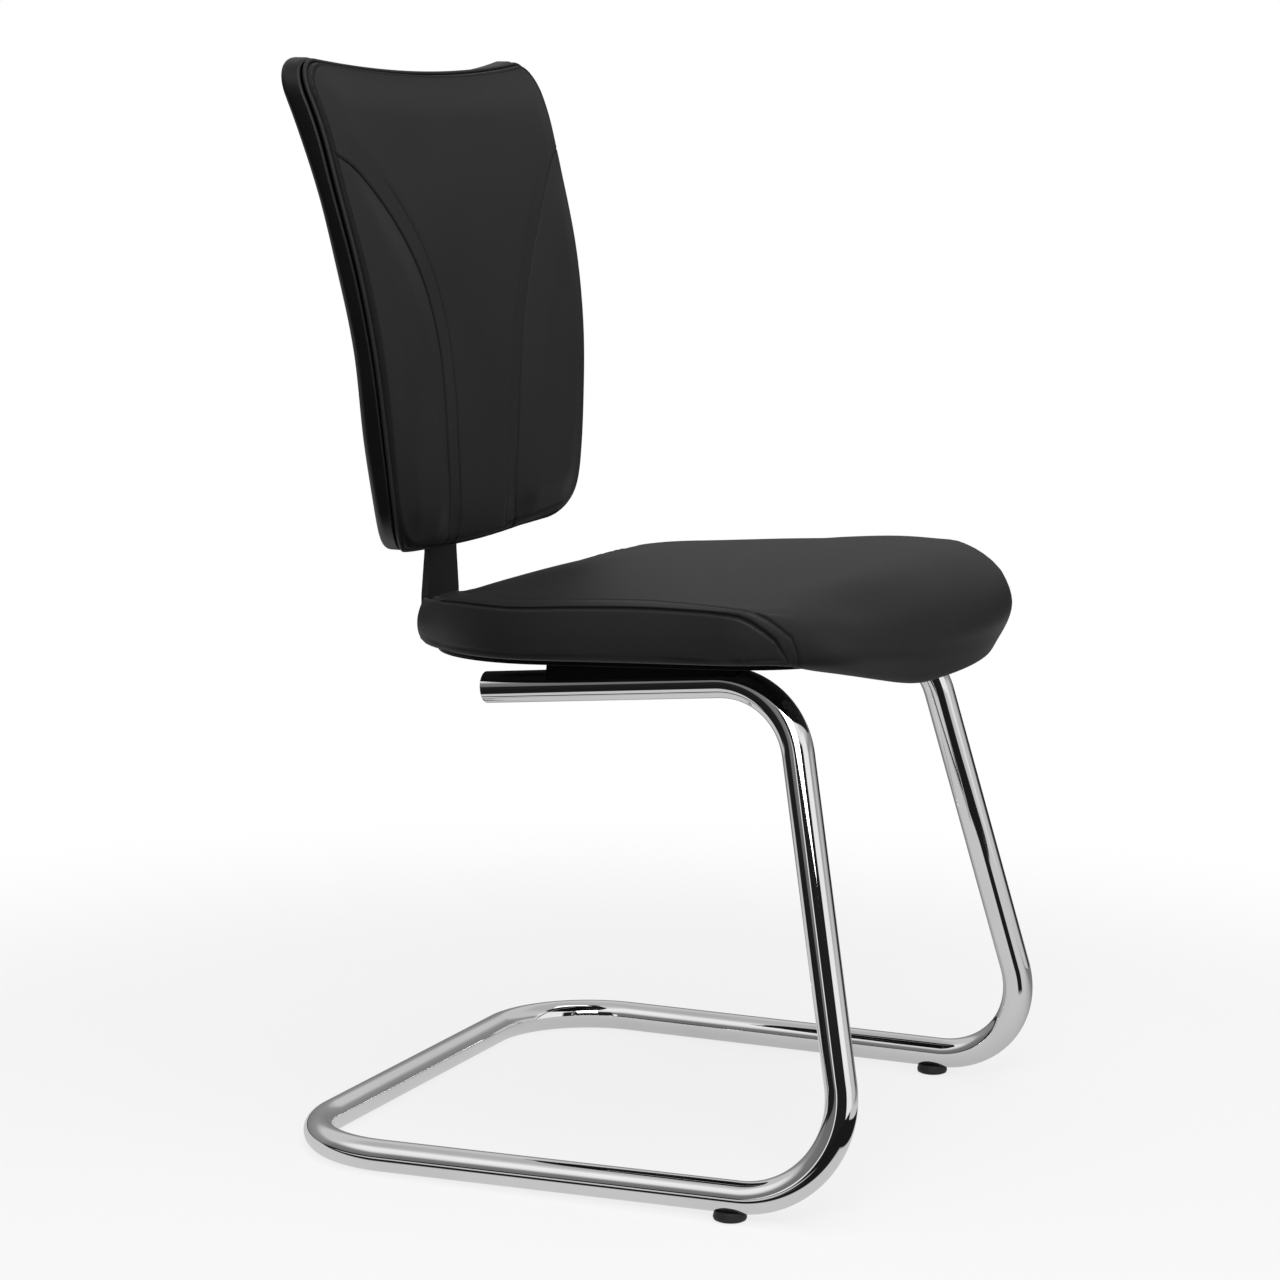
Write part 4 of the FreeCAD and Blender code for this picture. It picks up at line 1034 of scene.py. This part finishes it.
def distance_to(place, line):
    """Distance from every place (x, z) to the nearest point of a line's straight bits."""
    a, b = line[:-1], line[1:]
    span = b - a
    flat = place.reshape(-1, 2)
    near = []
    for block in np.array_split(flat, max(1, len(flat) // 4000)):
        off = block[:, None] - a
        t = np.clip(np.sum(off * span, -1) / np.sum(span * span, -1), 0, 1)
        near.append(np.linalg.norm(off - span * t[..., None], axis=-1).min(1))
    return np.concatenate(near).reshape(place.shape[:-1])


def closed_ring(count, *outline):
    """A back outline as so many evenly spaced points, of which the last is the first."""
    line = back_outline(*outline)
    line = at_length(line, np.linspace(0, running(line)[-1], count))
    line[-1] = line[0]
    return line


BACK_LINE = back_outline()
print("back outline: %.0f mm round" % running(BACK_LINE)[-1])

# %% [markdown]
# ## The back cushion
# A curved seam on each side parts the front into a middle panel and two wings. Each panel is a
# Coons patch: its inside is worked out from its four borders alone, as the sum of the two
# blends between opposite borders less the blend between the corners. Neighbours share the
# seam as a border, so the grid follows it exactly.

# %% Back cushion
SEAM = ((63, 480.6), (62, 508.6), (66, 549.6), (70, 590.6), (77, 631.6), (88, 663.6),
        (102, 691.7), (122, 719.7), (148, 748.7), (179, 775.8))
SEAM_TOP_Z, SECOND_LINE, RIM_SEAM = 788.5, 18.0, 3.0
SEAM_FADES = -1, 6
RIM_LIMITS, RIM_SHARE, TOP_RIM, TOP_STARTS = (4.5, 12.0), 0.62, 2.0, (790, 835)
SEWN_DEPTH, SECOND_DEPTH, RIM_DEPTH = 1.7, 0.9, 1.1
LINE_WIDTH, SHORT_WIDTH, RIM_WIDTH = 1.2, 1.1, 0.9
# How dark the second and short seams and the rim seam are painted as shade (the main seam at 1),
# and the width in mm of the edge band painted fully dark as shade.
LINE_TONE, RIM_TONE, DARK_RIM = 0.7, 0.85, 2
SECOND_ENDS, FAR_STARTS, FAR_SHARE = (752, 778), (-5, 5), 0.35
RIM_ENDS, HORN_STARTS = (785, 815), (176, 196)
SHORT_SEAM, SHORT_TOP, SHORT_ENDS = 9.3, 530, ((44, 48), (134, 142))
PANEL_PUFF, PANEL_LEAST, WING_PUFF = 2.6, 0.35, 6.0
PUFF_REACH, PANEL_REACH, WING_REACH = (1, 34), (0, 26), (-8, 34)
LEATHER_BEHIND, CORE_BEHIND, CORE_LEAST = 0.2, 0.6, 0.4
BOARD_WRAP, WRAP_STARTS = 7.0, (-0.01, 0.05)
# Steps of the grids, fine at the seams and the rim: up, across the middle, across a wing.
UP_STEPS = (0, 0.25), (6, 0.8), (30, 2.6), (300, 2.6), (345, 1.0), (352, 0.25)
MIDDLE_STEPS = ((0, 0.35), (6, 1.1), (30, 1.5), (60, 4), (110, 4), (140, 1.5), (164, 1.1),
                (170, 0.35))
WING_STEPS = (0, 0.35), (6, 1.1), (30, 2.5), (80, 1.6), (90, 0.7), (95, 0.25)


def part_of(line, start, stop, share):
    """A stretch of a line of points between two of its lengths, at shares from 0 to 1."""
    return at_length(line, start + (stop - start) * share)


def coons(bottom, top, left, right, u, v):
    """The patch inside four borders, each given at the shares u or v."""
    u, v = u[None, :, None], v[:, None, None]
    ruled = (1 - v) * bottom[None] + v * top[None] + (1 - u) * left[:, None] + u * right[:, None]
    corners = ((1 - u) * (1 - v) * bottom[0] + u * (1 - v) * bottom[-1]
               + (1 - u) * v * top[0] + u * v * top[-1])
    return ruled - corners


def shares(*stops):
    """The places of spread(), as shares of the last."""
    places = spread(*stops)
    return places / places[-1]


def back_panels():
    """The front's middle panel and its +x wing as grids of (x, z), and the seam between."""
    half = len(BACK_LINE) // 2
    right, run = BACK_LINE[:half + 1], running(BACK_LINE)
    total = run[-1]
    low_at = run[np.argmin(np.abs(right[:BOTTOM_END, 0] - SEAM[0][0]))]
    corner_at = run[np.argmax(right @ (1, -1))]
    high_at = run[BOTTOM_END + np.argmin(np.abs(right[BOTTOM_END:SIDE_END, 1] - SEAM_TOP_Z))]
    ends = at_length(BACK_LINE, np.array([low_at, high_at]))
    seam = cubic_through(np.concatenate([ends[:1], SEAM[1:], ends[1:]])[None], 60)[0]
    v, u, w = (shares(*steps) for steps in (UP_STEPS, MIDDLE_STEPS, WING_STEPS))
    edge = part_of(seam, 0, running(seam)[-1], v)
    round_bottom = np.concatenate([BACK_LINE[half:-1], right])
    middle_at = running(round_bottom)[len(BACK_LINE) - 1 - half]
    middle = coons(part_of(round_bottom, middle_at - low_at, middle_at + low_at, u),
                   part_of(BACK_LINE, total - high_at, high_at, u), edge * (-1, 1), edge, u, v)
    wing = coons(part_of(BACK_LINE, low_at, corner_at, w), np.repeat(ends[1:], len(w), 0),
                 edge, part_of(BACK_LINE, corner_at, high_at, v), w, v)
    return seam, middle, wing


def plain_front(x, z, to_edge):
    """The front's sheet + r - sqrt(r^2 - (r - to_edge)^2): a rim rounded by a radius r."""
    front = sheet_y(FRONT, x, z)
    radius = np.clip(RIM_SHARE * (sheet_y(INNER, x, z) - front), *RIM_LIMITS)
    radius += (TOP_RIM - radius) * step(z, *TOP_STARTS)
    return front + radius - np.sqrt(radius**2 - np.clip(radius - to_edge, 0, radius) ** 2)


def front_of(flat, seam):
    """The dressed front over a grid of (x, z): y, and how much shade is painted on it."""
    x, z = flat[..., 0], flat[..., 1]
    to_edge = distance_to(flat, BACK_LINE)
    to_seam = distance_to(joined(np.abs(x), z), seam)
    front = plain_front(x, z, to_edge)
    sewn = bell(to_seam, SEAM_WIDTH) * step(to_edge, *SEAM_FADES)
    inside = np.abs(x) < np.interp(z, seam[:, 1], seam[:, 0])
    second = inside * bell(to_seam - SECOND_LINE, LINE_WIDTH) * (1 - step(z, *SECOND_ENDS))
    # On the far (+x) side the second seam is shallower and its painted shade lighter.
    second *= 1 - (1 - FAR_SHARE) * step(x, *FAR_STARTS)
    rim = (bell(to_edge - RIM_SEAM, RIM_WIDTH)
           * (1 - step(z, *RIM_ENDS) * (1 - step(np.abs(x), *HORN_STARTS))))
    short = bell(to_edge - SHORT_SEAM, SHORT_WIDTH) * (z < SHORT_TOP) * window(x, *SHORT_ENDS)
    panel = PANEL_PUFF * (PANEL_LEAST + (1 - PANEL_LEAST) * step(to_seam, *PANEL_REACH))
    puff = (step(to_edge, *PUFF_REACH)
            * np.where(inside, panel, WING_PUFF * step(to_seam, *WING_REACH)))
    y = front - puff + SEWN_DEPTH * sewn + SECOND_DEPTH * (second + short) + RIM_DEPTH * rim
    # Painted shade: dark along the seams, the rim seam and a band at the very edge.
    crease = np.clip(sewn + LINE_TONE * (second + short) + RIM_TONE * rim
                     + (to_edge < DARK_RIM), 0, 1)
    return joined(x, y, z), crease


def back_cushion():
    """Three front panels, a rim round them, and a rear that is wrapped round the board."""
    seam, middle, wing = back_panels()
    grids, painted_shades = zip(*(front_of(flat, seam) for flat in (middle, wing, wing * (-1, 1))))
    centre, right, left = grids
    border = np.concatenate([centre[0], right[0, 1:], right[1:, -1], centre[-1, -2::-1],
                             left[-2::-1, -1], left[0, -2::-1]])
    rear = border.copy()
    rear[:, 1] = sheet_y(INNER, border[:, 0], border[:, 2]) - LEATHER_BEHIND
    down = np.linspace(0, 1, 7)[:, None, None]
    rim = border * (1 - down) + rear * down
    shrink = np.concatenate([1 - np.linspace(0, WRAP_STARTS[1], 8), np.linspace(0.9, 0, 9)])
    shrink = shrink[:, None, None]
    cap = rear * shrink + np.insert(BACK_MIDDLE, 1, 0) * (1 - shrink)
    cap[..., 1] = (sheet_y(INNER, cap[..., 0], cap[..., 2]) - LEATHER_BEHIND
                   + BOARD_WRAP * step(1 - shrink[..., 0], *WRAP_STARTS))
    points, quads = stacked([*grids, rim, cap])
    crease = np.concatenate([*(c.ravel() for c in painted_shades),
                             np.zeros(rim.size // 3 + cap.size // 3)])
    return quad_mesh("back_cushion", points * MM, quads, crease)


def back_core():
    """The foam: rings round a smaller outline, over the front, the edge and the rear."""
    line = closed_ring(241, -CORE_GAP)
    shrink = np.linspace(0, 1, 30)[:, None, None]
    flat = BACK_MIDDLE + (line - BACK_MIDDLE) * shrink
    x, z = flat[..., 0], flat[..., 1]
    front = plain_front(x, z, distance_to(flat, BACK_LINE)) + CORE_GAP
    rear = sheet_y(INNER, x, z) - CORE_BEHIND
    front = np.minimum(front, rear - CORE_LEAST)
    return grid_mesh("back_foam_core", np.concatenate([joined(x, front, z),
                                                       joined(x, rear, z)[::-1]]))


cushion = back_cushion()
adopt(cushion, leather, "back_leather", "back_cover")
adopt(back_core(), foam, "foam", "back_foam")

# %% [markdown]
# ## Piping and shell
# A thin leather cord is sewn round the cushion's rear edge, just outside the outline. Behind
# it the moulded shell stands a little proud. Its section, from the middle of its back, runs
# out to a rounded edge, forward along the side, over a narrow lip and back inside the wall.

# %% Piping
PIPING_OUT, PIPING_FORWARD, PIPING_RADIUS = 1.2, 2.0, 1.75


def back_piping():
    """A closed cord on the path y = rear of cushion - forward, round the outline."""
    line = closed_ring(620, PIPING_OUT)
    y = sheet_y(INNER, line[:, 0], line[:, 1]) - PIPING_FORWARD
    points = joined(line[:, 0], y, line[:, 1])
    ways = np.gradient(np.concatenate([points[-2:-1], points, points[1:2]]), axis=0)[1:-1]
    return grid_mesh("back_piping_cord",
                     ring_round(points, unit(ways), (0, 1, 0), PIPING_RADIUS, around=14))


piping = back_piping()
adopt(piping, leather, "piping_leather", "back_piping")

# %% Shell
MARGIN, WALL_THICK, RIM_GAP = 6.0, 3.0, 1.0
SHELL_EDGE, EDGE_SHARE, LIP_OUTER, LIP_INNER = 7.0, 0.5, 2.1, 0.7
# The outline's middle and horns go down by this much and its bottom up, with a wider corner.
SHELL_DROPS = 6.0, 1.0, 4.5, 60.0
SLOT_HALF, SLOT_LOW, SLOT_DEEP, SLOT_TALL = 25.0, 209.0, 8.0, 60.0


def back_shell():
    """Rings round the outline: out over the back, round the edge, over the lip, and inside."""
    line = closed_ring(461, 0.0, *SHELL_DROPS)
    outward = outward_of(line)

    def rings(out, toward, shift=0.0, shrink=1.0):
        """Rings so far out; toward is 0 on the lip's sheet and 1 on the shell's back."""
        flat = line + outward * np.asarray(out)[..., None]
        flat = BACK_MIDDLE + (flat - BACK_MIDDLE) * np.asarray(shrink)[..., None]
        x, z = flat[..., 0], flat[..., 1]
        y = sheet_y(SHELL, x, z) if toward else sheet_y(INNER, x, z) + RIM_GAP
        return joined(x, y + shift, z)

    rim = [rings(np.full(len(line), MARGIN), toward) for toward in (0, 1)]
    edge = np.minimum(SHELL_EDGE, EDGE_SHARE * (rim[1] - rim[0])[:, 1])
    turn = np.linspace(0, math.pi / 2, 12)[:, None]
    fan = np.concatenate([np.linspace(0, 0.94, 20), [0.97, 0.985]])[:, None]
    inside = np.full((1, len(line)), MARGIN - WALL_THICK)
    rows = [
        rings((MARGIN - edge) * np.ones_like(fan), 1, shrink=fan),
        rings(MARGIN - edge + edge * np.sin(turn), 1, edge * (np.cos(turn) - 1)),
        rings(MARGIN - LIP_OUTER * (1 - np.cos(turn)), 0, LIP_OUTER * (1 - np.sin(turn))),
        rings(inside + LIP_INNER * (1 - np.sin(turn)), 0, LIP_INNER * (1 - np.cos(turn))),
        rings(inside, 1, -WALL_THICK),
        rings(inside * np.ones_like(fan), 1, -WALL_THICK, fan[::-1])]
    return grid_mesh("moulded_shell", np.concatenate(rows))


def box_between(name, low, high):
    """The box from one corner to the other."""
    corners = np.meshgrid(*zip(low, high), indexing="ij")
    quads = np.array([(0, 1, 3, 2), (4, 6, 7, 5), (0, 4, 5, 1), (2, 3, 7, 6), (0, 2, 6, 4),
                      (1, 5, 7, 3)])
    return quad_mesh(name, np.stack(corners, -1).reshape(-1, 3) * MM, quads)


def cut_away(piece, tool):
    """Cut the tool out of the piece for good, and remove it."""
    cut = piece.modifiers.new("cut", "BOOLEAN")
    cut.operation, cut.solver, cut.object = "DIFFERENCE", "EXACT", tool
    made = bpy.data.meshes.new_from_object(
        piece.evaluated_get(bpy.context.evaluated_depsgraph_get()))
    piece.modifiers.clear()
    piece.data = made
    made.name = piece.name
    bpy.data.objects.remove(tool)


shell = back_shell()
cut_away(shell, box_between("bar_slot", (-SLOT_HALF, SLOT_LOW, BOTTOM_MID - SLOT_TALL / 2),
                            (SLOT_HALF, SLOT_LOW + SLOT_DEEP, BOTTOM_MID + SLOT_TALL / 2)))
shell.data.set_sharp_from_angle(angle=math.radians(50))
adopt(shell, shell_plastic, "shell_plastic", "back_shell")

# %% [markdown]
# ## Pieces that keep their engineering shape
# Bolts, glides, saddles, boards and the flat bar are already right. They only need a finish,
# and a small bevel, because no real edge is perfectly sharp and an edge is seen by the light
# that it catches.

# %% Finishes for the engineering pieces
# A finish, the width of the bevel in millimetres, and the nodes that get them.
KEPT = (
    (black_plastic, 0.3, "tube_plug_left tube_plug_right"),
    (glide_plastic, 0.3, "front_glide_left front_glide_right"),
    (black_plastic, 0.5, "seat_saddle_left seat_saddle_right"),
    (black_plastic, 0.4, "seat_underpan"),
    (black_plastic, 0.2, "shell_clips"),
    (powder_coat, 0.6, "back_bar"),
    (plywood, 0.3, "seat_board back_inner_board"),
    (zinc, 0.2, "rail_bolts_front rail_bolts_rear bar_seat_bolts bar_back_bolts"),
    (zinc, 0.15, "seat_tee_nuts back_tee_nuts"))

for look, bevel, names in KEPT:
    for node in (frame["nodes"][name] for name in names.split()):
        for place in node.material_slots:
            place.link = "OBJECT"
            place.material = look
        node.modifiers.new("weld", "WELD").merge_threshold = 1e-5
        edge = node.modifiers.new("bevel", "BEVEL")
        edge.width, edge.segments, edge.limit_method = bevel * MM, 2, "ANGLE"
        edge.angle_limit = math.radians(35)
        edge.harden_normals = True
    print("%-18s on %s" % (look.name, names))
